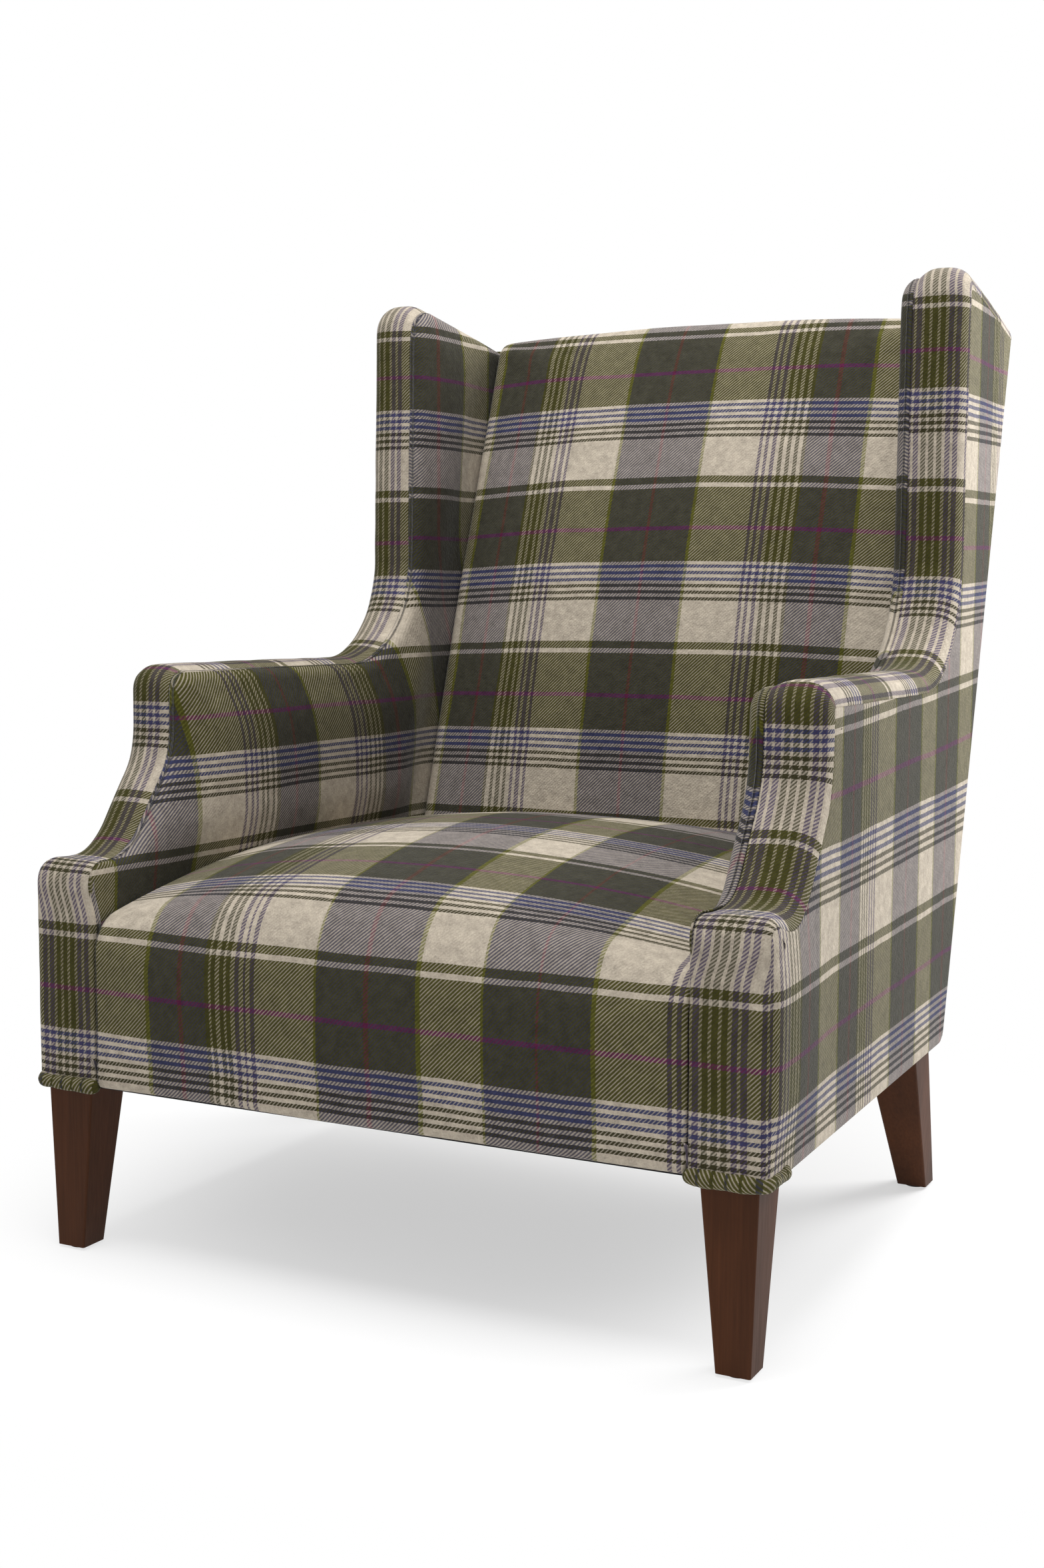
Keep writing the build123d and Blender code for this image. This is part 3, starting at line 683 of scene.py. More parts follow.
def panel(name, rings, depth_of, cloth_of, spacing, side, flip):
    """A panel of cloth from rings of points, joined by quads, and filled with an even net inside."""
    count = len(rings[0])
    last = rings[-1]
    low, high = last.min(axis=0), last.max(axis=0)
    rows = np.arange(low[1], high[1], spacing * math.sqrt(3) / 2)
    lattice = np.array([
        (run, height)
        for number, height in enumerate(rows)
        for run in np.arange(low[0] + (number % 2) * spacing / 2, high[0], spacing)
    ])
    lattice = lattice[inside_polygon(lattice, last)]
    lattice = lattice[distance_to(lattice, last) > spacing * 0.6]
    flat = np.concatenate([*rings, lattice])
    base = (len(rings) - 1) * count
    net = [Vector(p) for p in flat[base:]]
    edges = [(i, (i + 1) % count) for i in range(count)]
    result = geometry.delaunay_2d_cdt(net, edges, [], 1, 1e-6)
    origin = [ids[0] for ids in result[3]]
    faces = [tuple(base + origin[i] for i in face) for face in result[2]]
    for k in range(len(rings) - 1):
        for i in range(count):
            after = (i + 1) % count
            faces.append((k * count + i, k * count + after, (k + 1) * count + after, (k + 1) * count + i))
    depth = depth_of(flat)
    points = on_side(flat[:, 0], flat[:, 1], depth, side)
    cloth = cloth_of(flat)
    mesh_faces = []
    for face in faces:
        a, b, c = (points[i] for i in face[:3])
        normal = np.cross(b - a, c - a)
        outward = normal[0] * side > 0
        mesh_faces.append(face if outward != flip else face[::-1])
    return new_piece(name, points, mesh_faces, [[cloth[i] for i in face] for face in mesh_faces])


WING_SWELL = 0.008
ARM_SWELL = 0.014
SWELL_EDGE = 0.085
SWELL_BEHIND = (0.055, 0.13)  # distances from the back line between which the swell sets in
SWELL_FOOT = (0.36, 0.44)  # heights between which it sets in
SWELL_CHANGE = (0.52, 0.66)  # heights between which the arm's swell becomes the wing's
INSIDE_ROLL_SHARES = [SEAM_DEPTH / INNER_ROLL, 0.07, 0.18, 0.38, 0.65, 1.0, 1.5, 2.1]
INSIDE_SPACING = 0.010

INSIDE_LEAN = 0.067  # how far the cloth's columns lean forward on the wing
INSIDE_LEAN_HEIGHTS = (0.47, 0.76)
INSIDE_EASE = 1.135  # run covered by a metre of cloth
INSIDE_ROW = (0.449, 0.3875)  # a height and the cloth coordinate there
INSIDE_ROW_RATE = 1.0375


def inside_panel(side, name):
    """The padded inside of the arm and wing, rolled over its front and top edges."""
    rings = [
        varied_ring(SHOULDER + TUCK + INNER * share, INNER_ROLL * share, INNER_ROLL * share)
        for share in INSIDE_ROLL_SHARES
    ]
    count = len(OUTLINE)
    layers = [(slice(k * count, (k + 1) * count), share) for k, share in enumerate(INSIDE_ROLL_SHARES)]

    def depth_of(flat):
        inset = distance_to(flat, OUTLINE)
        depth = np.full(len(flat), SIDE_THICKNESS)
        for layer, share in layers:
            inside = np.clip(1 - share, 0, 1)
            depth[layer] -= INNER * (1 - math.sqrt(1 - inside**2))
            inset[layer] = INNER * share
        foot = np.array([BACK_FOOT, BODY_BOTTOM])
        behind = (flat - foot) @ np.array([-math.cos(RAKE), math.sin(RAKE)])
        rise = 1 - np.clip(1 - inset / SWELL_EDGE, 0, 1) ** 2
        swell = rise * smooth(behind, *SWELL_BEHIND) * smooth(flat[:, 1], *SWELL_FOOT)
        depth = depth + swell * (ARM_SWELL + (WING_SWELL - ARM_SWELL) * smooth(flat[:, 1], *SWELL_CHANGE))
        depth[:count] = SIDE_THICKNESS - INNER - CREASE
        return depth

    def cloth_of(flat):
        moved = flat.copy()
        away = unit(rings[0] - rings[-1])
        for layer, share in layers:
            inside = np.clip(1 - share, 0, 1)
            moved[layer] += away * (INNER * (math.asin(inside) - inside))[:, None]
        lean = INSIDE_LEAN * smooth(moved[:, 1], *INSIDE_LEAN_HEIGHTS)
        height, row = INSIDE_ROW
        along = row + (moved[:, 1] - height) * INSIDE_ROW_RATE
        return np.stack([-side * (moved[:, 0] / INSIDE_EASE + lean), along], axis=-1)

    return panel(name, rings, depth_of, cloth_of, INSIDE_SPACING, side, flip=True)


OUTSIDE_SPACING = 0.012
REAR_SHARE = 0.999  # share of an offset that the rear and bottom edges take
FRONT_BULGE = 0.0055  # how far the cloth stands out on the lower front
OUTSIDE_TILT = 0.040  # rise of the cloth's rows towards the rear of the outside
OUTSIDE_EASE = 1.07  # cloth laid over a metre of run
OUTSIDE_ROW = (0.235, 0.234)  # a height and the cloth coordinate there
OUTSIDE_ROW_RATE = 0.984  # rise of the cloth coordinate with height, at a height, and its fall
OUTSIDE_RATE_HEIGHT = 0.548
OUTSIDE_RATE_FALL = 0.084


def outside_panel(side, name):
    """The flat outside of a side unit, sewn to the border strip."""
    offsets = [SEAM_DEPTH * 0.4, 0.0, 0.0022, 0.006, 0.012, 0.020]
    sunk = [SINK, SINK * 0.35, 0.0, 0.0, 0.0, 0.0]
    rings = [varied_ring(SEAM + offset, offset * REAR_SHARE, offset * REAR_SHARE) for offset in offsets]

    def depth_of(flat):
        count = len(OUTLINE)
        depth = np.zeros(len(flat))
        for k, offset in enumerate(offsets):
            depth[k * count:(k + 1) * count] = outer_depth(SEAM + offset, ROLL) + sunk[k]
        run, height = flat[:, 0], flat[:, 1]
        bulge = FRONT_BULGE * smooth(run, 0.003, 0.02) * (1 - smooth(run, 0.05, 0.18))
        bulge = bulge * (1 - smooth(height, 0.33, 0.42))
        return depth - bulge * smooth(height, BODY_BOTTOM, BODY_BOTTOM + 0.08)

    def cloth_of(flat):
        run, height = flat[:, 0], flat[:, 1]
        start, row = OUTSIDE_ROW
        rate = OUTSIDE_ROW_RATE - OUTSIDE_RATE_FALL * (height - OUTSIDE_RATE_HEIGHT)
        level = 1 - 0.6 * smooth(height, 0.62, 0.82) - 0.4 * smooth(height, 0.86, 0.96)
        along = row + (height - start) * rate - OUTSIDE_TILT * run * smooth(height, 0.25, 0.6) * level
        return np.stack([side * run * OUTSIDE_EASE, along], axis=-1)

    return panel(name, rings, depth_of, cloth_of, OUTSIDE_SPACING, side, flip=False)


# ---- Seat and back ----

def inner_half(run):
    """Half the clear width between the side units, at a distance back from the front."""
    return HALF_WIDTH - run * math.tan(TOE_IN) - SIDE_THICKNESS / math.cos(TOE_IN)


def arc_through(first, middle, last, count):
    """Points on the arc through three points."""
    (ax, ay), (bx, by), (cx, cy) = first, middle, last
    d = 2 * (ax * (by - cy) + bx * (cy - ay) + cx * (ay - by))
    ux = ((ax**2 + ay**2) * (by - cy) + (bx**2 + by**2) * (cy - ay) + (cx**2 + cy**2) * (ay - by)) / d
    uy = ((ax**2 + ay**2) * (cx - bx) + (bx**2 + by**2) * (ax - cx) + (cx**2 + cy**2) * (bx - ax)) / d
    start = math.atan2(ay - uy, ax - ux)
    end = math.atan2(cy - uy, cx - ux)
    way = (end - start + math.pi) % (2 * math.pi) - math.pi
    radius = math.hypot(ax - ux, ay - uy)
    return [
        (ux + radius * math.cos(start + way * i / count), uy + radius * math.sin(start + way * i / count))
        for i in range(count + 1)
    ]


def tangent_arc(first, last, count):
    """Points on the arc that leaves the first point straight up and ends at the last."""
    dx, dy = last[0] - first[0], last[1] - first[1]
    radius = (dx**2 + dy**2) / (2 * dx)
    turn = 2 * math.atan2(dx, dy)
    return [
        (first[0] + radius * (1 - math.cos(turn * i / count)), first[1] + radius * math.sin(turn * i / count))
        for i in range(count + 1)
    ]


def rolled_off(profile, share, half, radius):
    """The profile of one column of points, lowered where the pad rolls off towards the side units."""
    inside = max(radius - (1 - abs(share)) * half, 0)
    way = unit(np.gradient(profile, axis=0))
    dip = radius - math.sqrt(radius**2 - inside**2)
    return profile + np.stack([way[:, 1], -way[:, 0]], axis=-1) * dip


def tucked_columns(near, far):
    """The two extra columns at each side that go down beside the pad, their source and their drop."""
    return (1, 2, near), (0, 2, far), (-2, -3, near), (-1, -3, far)


SEAT_EDGE = 0.384
SEAT_CROWN = 0.043
SEAT_CREST = 0.215
SEAT_FRONT_DROP = 0.034
SEAT_ROLL = (0.025, 0.040)
SEAT_ROLL_SLOPE = 1.455
SEAT_REAR = 0.650
SEAT_REAR_DROP = (0.012, 0.045)
SEAT_SIDE_ROLL = 0.0055
SEAT_HEM = 0.006  # height over which the cover turns under the front
SEAT_ROW_SHIFT = 0.008  # shift of the rows for the cloth that is turned under
SEAT_EDGE_COLUMNS = [0, 0.0012, 0.0026, 0.0048, 0.0085]  # distances of the first columns from the edge
SEAT_FIRST_EVEN = 0.014  # and of the first one that is evenly spaced


def seat_profile(fullness, steps):
    """Run and height along the seat's cover from the front bottom edge to its rear."""
    crest = SEAT_EDGE + SEAT_CROWN * fullness
    roll = SEAT_ROLL[0] + (SEAT_ROLL[1] - SEAT_ROLL[0]) * fullness
    brow = crest - SEAT_FRONT_DROP
    low = brow - SEAT_ROLL_SLOPE * roll
    rear = (SEAT_REAR, crest - SEAT_REAR_DROP[0] - (SEAT_REAR_DROP[1] - SEAT_REAR_DROP[0]) * fullness)
    hem = BODY_BOTTOM + SEAT_HEM
    curve = [(0.010, BODY_BOTTOM + 0.002), (0.004, BODY_BOTTOM), (0.001, BODY_BOTTOM + 0.002), (0, hem)]
    curve += [(0, low * share + hem * (1 - share)) for share in np.linspace(0.1, 0.9, 9)]
    curve += tangent_arc((0, low), (roll, brow), 16)
    curve += arc_through((roll, brow), (SEAT_CREST, crest), rear, 60)[1:]
    return evenly(curve, steps)


def edge_shares(count, half):
    """Shares of a half width from -1 to 1, close together at both edges."""
    edge = np.array(SEAT_EDGE_COLUMNS) / half
    first = SEAT_FIRST_EVEN / half
    middle = np.linspace(first - 1, 1 - first, count - 2 * len(edge))
    return np.concatenate([edge - 1, middle, 1 - edge[::-1]])


def seat():
    """The tight seat: crowned top and front in one cloth, tucked in beside the arms."""
    columns, rows = 96, 140
    points = np.zeros((rows + 1, columns + 5, 3))
    uv = np.zeros((rows + 1, columns + 5, 2))
    across_half = inner_half(0) - CREASE
    for c, share in enumerate(edge_shares(columns + 1, inner_half(0))):
        profile, along = seat_profile(1 - share**2, rows)
        profile = rolled_off(profile, share, across_half, SEAT_SIDE_ROLL)
        half = inner_half(profile[:, 0]) - CREASE
        points[:, c + 2] = np.stack([share * half, FRONT + profile[:, 0], profile[:, 1]], axis=-1)
        across = np.full(rows + 1, share * across_half)
        uv[:, c + 2] = np.stack([across, along + BODY_BOTTOM - SEAT_ROW_SHIFT], axis=-1)
    for c, source, drop in tucked_columns(0.010, 0.030):
        way = unit(np.gradient(points[:, source, 1:], axis=0))
        points[:, c] = points[:, source]
        points[:, c, 1] += way[:, 1] * drop
        points[:, c, 2] -= way[:, 0] * drop
        uv[:, c] = uv[:, source]
    points[..., 2] = np.maximum(points[..., 2], BODY_BOTTOM)
    piece = grid_piece("seat_cloth", points, uv)
    billow(piece, points.shape[:2], sides=8, foot=8, head=10)
    ripple(piece, 0.0012, 0.11, 3)
    return piece


BACK_TOP = WING_BACK_HEIGHT - 0.007
BACK_PAD_FRONT = 0.031
BACK_EDGE = BACK_PAD_FRONT + 0.0165 + CLOTH
BACK_CROWN = (0.004, 0.036)
BACK_TOP_CROWN = 0.010
BACK_TOP_RISE = 0.007
BACK_FRONT_ROLL = 0.024
BACK_SWELL_FOOT = 0.330
BACK_LOW = 0.300
BACK_SIDE_ROLL = 0.016
BACK_CLOTH_RUN = 0.75  # run at which the cloth's width is laid out
BACK_CLOTH_EASE = 1.028  # width covered by a metre of cloth
BACK_ROW = 0.2498  # cloth coordinate at the foot of the cover
BACK_ROW_RATE = 0.981
BACK_TUCK_END = (0.95, 0.98)  # heights between which the tucked edge turns straight down


def up_the_back(height):
    """Distance along the back line at a height."""
    return (height - BODY_BOTTOM) / math.cos(RAKE)


def back_profile(fullness, steps):
    """Distance up the rake and forward, along the inside back's cover from its foot over the top."""
    top = up_the_back(BACK_TOP) + BACK_TOP_RISE * fullness
    head = BACK_EDGE + BACK_TOP_CROWN * fullness
    middle = BACK_EDGE + BACK_CROWN[0] + (BACK_CROWN[1] - BACK_CROWN[0]) * fullness
    foot = up_the_back(BACK_SWELL_FOOT)
    start = top - BACK_FRONT_ROLL
    curve = [(up_the_back(BACK_LOW), BACK_EDGE), (foot, BACK_EDGE)]
    curve += arc_through((foot, BACK_EDGE), ((foot + start) / 2, middle), (start, head), 60)[1:]
    curve += [
        (start + BACK_FRONT_ROLL * math.sin(a), head - BACK_FRONT_ROLL + BACK_FRONT_ROLL * math.cos(a))
        for a in np.linspace(0.1, math.pi / 2, 12)
    ]
    curve += [(top, 0.004), (top - 0.0006, 0.001), (top - 0.003, -0.0005)]
    return evenly(curve, steps)


def at_back(x, up, forward):
    """Place in the room of a point on the raked back."""
    y = FRONT + BACK_FOOT + up * math.sin(RAKE) - forward * math.cos(RAKE)
    z = BODY_BOTTOM + up * math.cos(RAKE) + forward * math.sin(RAKE)
    return np.stack([x, y, z], axis=-1)


def inside_back():
    """The padded inside back, crowned and rolled over at its top, tucked in beside the wings."""
    columns, rows = 96, 130
    points = np.zeros((rows + 1, columns + 5, 3))
    uv = np.zeros((rows + 1, columns + 5, 2))
    across_half = inner_half(BACK_CLOTH_RUN)
    for c, share in enumerate(np.linspace(-1, 1, columns + 1)):
        profile, along = back_profile(1 - share**2, rows)
        profile = rolled_off(profile, share, across_half, BACK_SIDE_ROLL)
        run = BACK_FOOT + profile[:, 0] * math.sin(RAKE) - profile[:, 1] * math.cos(RAKE)
        points[:, c + 2] = at_back(share * (inner_half(run) - CREASE), profile[:, 0], profile[:, 1])
        across = np.full(rows + 1, share * across_half / BACK_CLOTH_EASE)
        uv[:, c + 2] = np.stack([across, along * BACK_ROW_RATE + BACK_ROW], axis=-1)
    for c, source, drop in tucked_columns(0.008, 0.022):
        level = smooth(points[:, source, 2], *BACK_TUCK_END)
        points[:, c] = points[:, source]
        points[:, c, 1] += drop * math.cos(RAKE) * (1 - level)
        points[:, c, 2] -= drop * (math.sin(RAKE) + level)
        uv[:, c] = uv[:, source]
    piece = grid_piece("inside_back_cloth", points, uv)
    billow(piece, points.shape[:2], sides=4, foot=6, head=8)
    ripple(piece, 0.0012, 0.12, 11)
    return piece


BACK_STEP = 0.004  # half the width over which the back's top rises to the wing's
BACK_BOW = 0.0012
BACK_TURN_IN = 0.006  # width of the edge that turns in towards the frame
BACK_INSET = 0.0008
REAR_ROW = 0.2


def outside_back():
    """The flat cloth over the rear of the back and of both side units."""
    columns, rows = 60, 80
    foot_half = HALF_WIDTH - BACK_FOOT * math.tan(TOE_IN)
    top_half = HALF_WIDTH - BACK_TOP_RUN * math.tan(TOE_IN)
    wing_up, back_up = up_the_back(WING_BACK_HEIGHT), up_the_back(BACK_TOP)
    step = top_half - SIDE_THICKNESS
    shares = np.linspace(-1, 1, columns + 1)
    ups = np.linspace(0, 1, rows + 1)
    points = np.zeros((rows + 1, columns + 1, 3))
    uv = np.zeros((rows + 1, columns + 1, 2))
    for c, share in enumerate(shares):
        top_x = share * top_half
        wing = smooth(abs(top_x), step - BACK_STEP, step + BACK_STEP)
        fullness = 1 - min(abs(top_x) / step, 1) ** 2
        top = back_up + BACK_TOP_RISE * fullness + (wing_up - WING_DROOP - back_up) * wing
        past = min(max(abs(top_x) - top_half + OUTER_ROLL, 0), OUTER_ROLL)
        top -= OUTER_ROLL - math.sqrt(OUTER_ROLL**2 - past**2)
        up = ups * (top - 0.001)
        half = foot_half + (top_half - foot_half) * up / wing_up
        bow = BACK_BOW * (1 - share**2) * np.sin(np.pi * ups)
        edge = np.minimum(np.minimum(up, top - up), (1 - abs(share)) * top_half)
        turned = CLOTH * (1 - smooth(edge, 0, BACK_TURN_IN))
        points[:, c] = at_back(share * (half - BACK_INSET), up, -CLOTH - bow + turned)
        uv[:, c] = np.stack([-share * top_half + 0 * up, up + REAR_ROW], axis=-1)
    return grid_piece("outside_back_cloth", points[:, ::-1], uv[:, ::-1])


HEM_RADIUS = 0.0062
HEM_END = 0.008  # length over which the roll closes at each end
HEM_ROW = 0.286  # cloth coordinate along the roll, and its rise with the angle round it
HEM_ROW_RATE = 0.0058


def hem_roll(side, name):
    """The rolled hem that bulges out over the top of a front leg."""
    inner, outer = inner_half(0), HALF_WIDTH - 0.004
    route = [
        (inner - 0.003, 0.0015),
        (inner + 0.02, 0.0005),
        (outer - 0.012, 0.001),
        (outer - 0.002, 0.004),
        (outer + 0.001, 0.018),
        (outer, 0.055),
    ]
    line = bpy.data.curves.new("hem_route", "CURVE")
    spline = line.splines.new("NURBS")
    spline.points.add(len(route) - 1)
    for point, (x, run) in zip(spline.points, route):
        point.co = (side * x, FRONT + run, BODY_BOTTOM + 0.002, 1)
    spline.order_u = 3
    spline.use_endpoint_u = True
    spline.resolution_u = 16
    line_object = bpy.data.objects.new("hem_route", line)
    path = np.array([tuple(v.co) for v in bpy.data.meshes.new_from_object(line_object).vertices])
    bpy.data.objects.remove(line_object)
    count, around = 64, 20
    centre, at = evenly(path, count)
    up = np.array([0, 0, 1.0])
    out = np.cross(unit(np.gradient(centre, axis=0)), up) * -side
    points = np.zeros((count + 1, around + 1, 3))
    uv = np.zeros((count + 1, around + 1, 2))
    for r in range(count + 1):
        end = min(at[r], at[-1] - at[r])
        radius = HEM_RADIUS * math.sqrt(max(1 - (1 - min(end / HEM_END, 1)) ** 2, 0.0004))
        lump = 1 + 0.32 * noise.noise(Vector((at[r] * 42, side * 3.1, 0.4)))
        for a in range(around + 1):
            angle = 2 * math.pi * a / around
            place = Vector((at[r] * 230, math.cos(angle) * 2, math.sin(angle) * 2 + side))
            reach = radius * lump * (1 + 0.12 * noise.noise(place))
            points[r, a] = centre[r] + out[r] * reach * math.cos(angle) + up * reach * math.sin(angle) * 0.95
            uv[r, a] = (at[r], HEM_ROW + angle * HEM_ROW_RATE)
    if side > 0:
        points, uv = points[:, ::-1], uv[:, ::-1]
    return grid_piece(name, points, uv)


# ---- Making the cloth pieces ----

SIDES = ((1, "left"), (-1, "right"))


# The gaps between the strips' lines are in cream darkened by painted shade.
strip_lines = lines([PURPLE, PURPLE, MOSS, MOSS, MOSS, PURPLE, PURPLE], SHADED_STRIP_CREAM, width=0.0057, gap=0.0032)
# On the left strip the navy band before the first cream line is painted shade, for the groove at the inner
# seam.
strip_bands = {
    1: (
        [(NAVY, 0.002), (CREAM, 0.0016)] + strip_lines + [(CREAM, 0.009), (PURPLE, 0.0045), (CREAM, 0.06)],
        -0.002,
    ),
    -1: ([(CREAM, 0.02)] + strip_lines + [(CREAM, 0.0075), (NAVY, 0.02)], -0.0963),
}
seat_bands = (
    [(NAVY, 0.1)] + CREAM_BAND + NARROW_DARK + STRIPES + CREAM_BAND + WIDE_DARK
    + CREAM_BAND + WIDE_DARK + CREAM_BAND + flipped(STRIPES)
)
back_bands = (
    [(CREAM, 0.05)] + NARROW_DARK + STRIPES + CREAM_BAND + WIDE_DARK + CREAM_BAND
    + flipped(STRIPES) + flipped(NARROW_DARK) + CREAM_BAND
)
inside_bands = (
    CREAM_BAND + WIDE_DARK + CREAM_BAND + flipped(STRIPES) + flipped(NARROW_DARK) + CREAM_BAND
    + flipped(STRIPES) + flipped(NARROW_DARK) + CREAM_BAND + WIDE_DARK + CREAM_BAND + WIDE_DARK
)
outside_bands = (
    lines([PURPLE]) + flipped(STRIPES) + flipped(NARROW_DARK) + CREAM_BAND + NARROW_DARK + STRIPES
    + CREAM_BAND + WIDE_DARK + CREAM_BAND + WIDE_DARK + CREAM_BAND + NARROW_DARK + STRIPES + CREAM_BAND
    + WIDE_DARK
)

hem_cloth = tartan("wool_hem", lines([MOSS, SLATE] * 8, CREAM, width=0.003, gap=0.010))

for side, word in SIDES:
    strip = border_strip(side, f"border_cloth_{word}")
    ripple(strip, 0.0007, 0.035, 5)
    finish_cloth(strip, tartan(f"wool_border_{word}", *strip_bands[side]))
    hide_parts(f"border_cover_{word}", f"border_wadding_{word}")

    inside = inside_panel(side, f"inside_side_cloth_{word}")
    finish_cloth(inside, tartan(f"wool_inside_{word}", *for_side(inside_bands, -0.0326, -side)))
    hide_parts(f"inside_side_cover_{word}", f"side_pad_{word}")

    outside = outside_panel(side, f"outside_side_cloth_{word}")
    finish_cloth(outside, tartan(f"wool_outside_{word}", *for_side(outside_bands, 0.0016, side)))
    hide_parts(f"outside_side_cover_{word}")

    hem = hem_roll(side, f"hem_cloth_{word}")
    finish_cloth(hem, hem_cloth)
    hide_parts(f"hem_tuck_{word}")

seat_piece = seat()
finish_cloth(seat_piece, tartan("wool_seat", seat_bands, -0.325 - 0.091))
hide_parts("seat_cover", "seat_foam", "seat_front_pad")

back_piece = inside_back()
finish_cloth(back_piece, tartan("wool_back", back_bands, -0.329))
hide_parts("inside_back_cover", "back_foam")

rear_piece = outside_back()
finish_cloth(rear_piece, tartan("wool_rear", seat_bands, -0.45))
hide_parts("outside_back_cover")


# ---- Other materials ----

def walnut():
    """Dark stained walnut with a satin lacquer; the grain runs down the leg."""
    nodes = Nodes(bpy.data.materials.new("walnut"))
    place = nodes.new("ShaderNodeTexCoord").outputs["Object"]
    figure = nodes.noise(place, 18.0, 3.0, 0.55, stretch=(1.0, 1.0, 0.09))
    pore = nodes.noise(place, 420.0, 3.0, 0.6, stretch=(1.0, 1.0, 0.03))
    colour = nodes.mix(figure, linear(32, 16, 5), linear(91, 50, 23))
    nodes.feed(nodes.shader, {
        "Base Color": nodes.shaded(colour, nodes.math("MULTIPLY_ADD", pore, -0.7, 1.3)),
        "Roughness": nodes.math("MULTIPLY_ADD", pore, 0.2, 0.4),
        "Specular IOR Level": 0.12,
        "Coat Weight": 0.02,
        "Coat Roughness": 0.25,
    })
    nodes.bump(pore, strength=0.15, distance=0.0005)
    return nodes.block


def plain(name, first, second, scale, roughness, stretch=None, metallic=0.0):
    """A simple mottled or grained material for the pieces inside the chair."""
    nodes = Nodes(bpy.data.materials.new(name))
    place = nodes.new("ShaderNodeTexCoord").outputs["Object"]
    grain = nodes.noise(place, scale, 4.0, 0.6, stretch=stretch)
    nodes.feed(nodes.shader, {
        "Base Color": nodes.mix(grain, linear(*first), linear(*second)),
        "Roughness": nodes.math("MULTIPLY_ADD", grain, 0.2, roughness),
        "Metallic": metallic,
    })
    nodes.bump(grain, strength=0.2, distance=0.0004)
    return nodes.block


finishes = {
    "leg_walnut": walnut(),
    "frame_beech": plain("beech", (190, 150, 105), (214, 178, 134), 30, 0.55, (1.0, 0.15, 1.0)),
    "stiff_board": plain("board", (150, 120, 84), (168, 138, 100), 260, 0.7),
    "steel": plain("zinc", (160, 160, 164), (188, 188, 192), 90, 0.35, metallic=1.0),
    "webbing": plain("webbing", (48, 48, 54), (66, 66, 72), 500, 0.8, (1.0, 0.2, 1.0)),
    "hessian": plain("hessian", (150, 122, 82), (182, 154, 110), 700, 0.9),
    "dust_cloth": plain("dust_cloth", (24, 24, 25), (38, 38, 40), 600, 0.9),
    "glide_nylon": plain("nylon", (34, 30, 28), (44, 40, 38), 120, 0.45),
}
slots = {row["node"]: row["material_slot"] for row in frame["record"]["subparts"]}
for node, piece in frame["nodes"].items():
    if slots[node] in finishes:
        for place in piece.material_slots:
            place.material = finishes[slots[node]]


# ---- Floor, light and camera ----

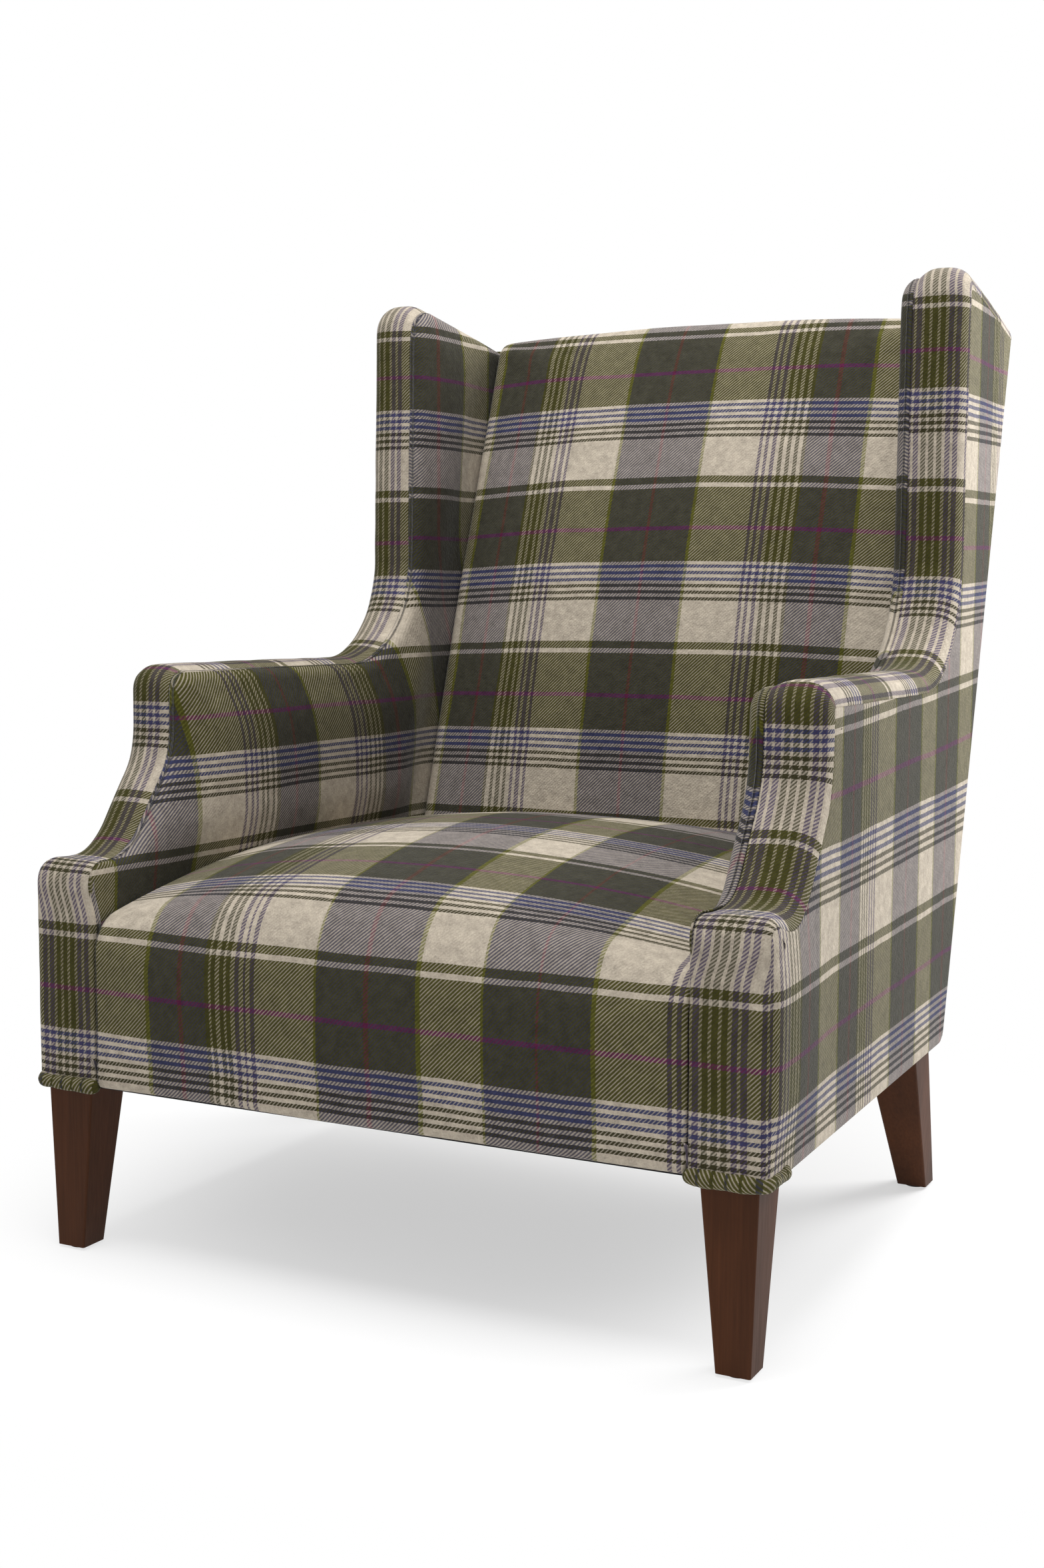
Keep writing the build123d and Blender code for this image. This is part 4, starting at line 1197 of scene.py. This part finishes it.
def floor():
    """A pale floor that fades to white away from the chair and keeps the chair's shadow."""
    mesh = bpy.data.meshes.new("floor")
    reach = 30
    corners = [(-reach, -reach, 0), (reach, -reach, 0), (reach, reach, 0), (-reach, reach, 0)]
    mesh.from_pydata(corners, [], [(0, 1, 2, 3)])
    piece = new_object("floor", mesh)
    nodes = Nodes(bpy.data.materials.new("floor"))
    pale = {"Base Color": (0.86, 0.86, 0.86, 1), "Roughness": 1, "Specular IOR Level": 0}
    nodes.feed(nodes.shader, pale)
    glow = nodes.feed(nodes.new("ShaderNodeEmission"), {"Color": (1, 1, 1, 1), "Strength": 1})
    rays = nodes.new("ShaderNodeLightPath")
    seen = nodes.math("MAXIMUM", rays.outputs["Is Camera Ray"], rays.outputs["Is Glossy Ray"])
    seen = nodes.math("MAXIMUM", seen, rays.outputs["Is Transmission Ray"])
    length = nodes.new("ShaderNodeVectorMath", operation="LENGTH")
    nodes.plug(length.inputs[0], nodes.new("ShaderNodeTexCoord").outputs["Object"])
    far = nodes.new("ShaderNodeMapRange", interpolation_type="SMOOTHSTEP")
    fade = {"From Min": 0.3, "From Max": 0.85, "To Min": 0.54, "To Max": 1.0}
    nodes.feed(far, {"Value": length.outputs["Value"], **fade})
    mix = nodes.new("ShaderNodeMixShader")
    nodes.plug(mix.inputs[0], nodes.math("MULTIPLY", seen, far.outputs[0]))
    nodes.plug(mix.inputs[1], nodes.shader.outputs[0])
    nodes.plug(mix.inputs[2], glow.outputs[0])
    nodes.plug(nodes.tree.nodes["Material Output"].inputs["Surface"], mix.outputs[0])
    mesh.materials.append(nodes.block)


def world():
    """Even studio light, seen as white behind the chair."""
    nodes = Nodes(bpy.data.worlds.new("studio"), "Background")
    rays = nodes.new("ShaderNodeLightPath")
    seen = nodes.math("MAXIMUM", rays.outputs["Is Camera Ray"], rays.outputs["Is Transmission Ray"])
    strength = nodes.new("ShaderNodeMapRange")
    nodes.feed(strength, {"Value": seen, "To Min": 0.46, "To Max": 1.0})
    nodes.feed(nodes.shader, {"Color": (1, 1, 1, 1), "Strength": strength.outputs[0]})
    bpy.context.scene.world = nodes.block


def lamp(name, place, target, size, power):
    """A square soft light that points at a target."""
    light = bpy.data.lights.new(name, "AREA")
    light.shape = "SQUARE"
    light.size = size
    light.energy = power
    holder = new_object(name, light)
    holder.location = place
    holder.rotation_euler = (Vector(target) - Vector(place)).to_track_quat("-Z", "Y").to_euler()


def camera():
    """The photograph's camera, solved from the legs and straight edges of the chair."""
    image_height = 2354
    focal_pixels = 2923.66
    place = Vector((0.9339, -1.9563, 0.6786))
    yaw, pitch, roll = math.radians(26.99), math.radians(5.74), 0.0038
    lens = bpy.data.cameras.new("camera")
    lens.sensor_width = 36
    lens.lens = focal_pixels / image_height * lens.sensor_width
    turn = Matrix.Rotation(yaw, 4, "Z") @ Matrix.Rotation(math.pi / 2 - pitch, 4, "X")
    turn = turn @ Matrix.Rotation(roll, 4, "Z")
    holder = new_object("camera", lens)
    holder.matrix_world = Matrix.Translation(place) @ turn
    bpy.context.scene.camera = holder


floor()
world()
lamp("key", (1.25, 1.0, 1.3), (0.35, 0.3, 0.85), 1.0, 37)
lamp("top", (0.1, -0.7, 3.2), (0, 0, 0.4), 1.8, 97)
lamp("fill", (-1.6, -2.8, 1.8), (0, 0, 0.5), 2.2, 7)
camera()
bpy.context.scene.view_settings.view_transform = "Standard"
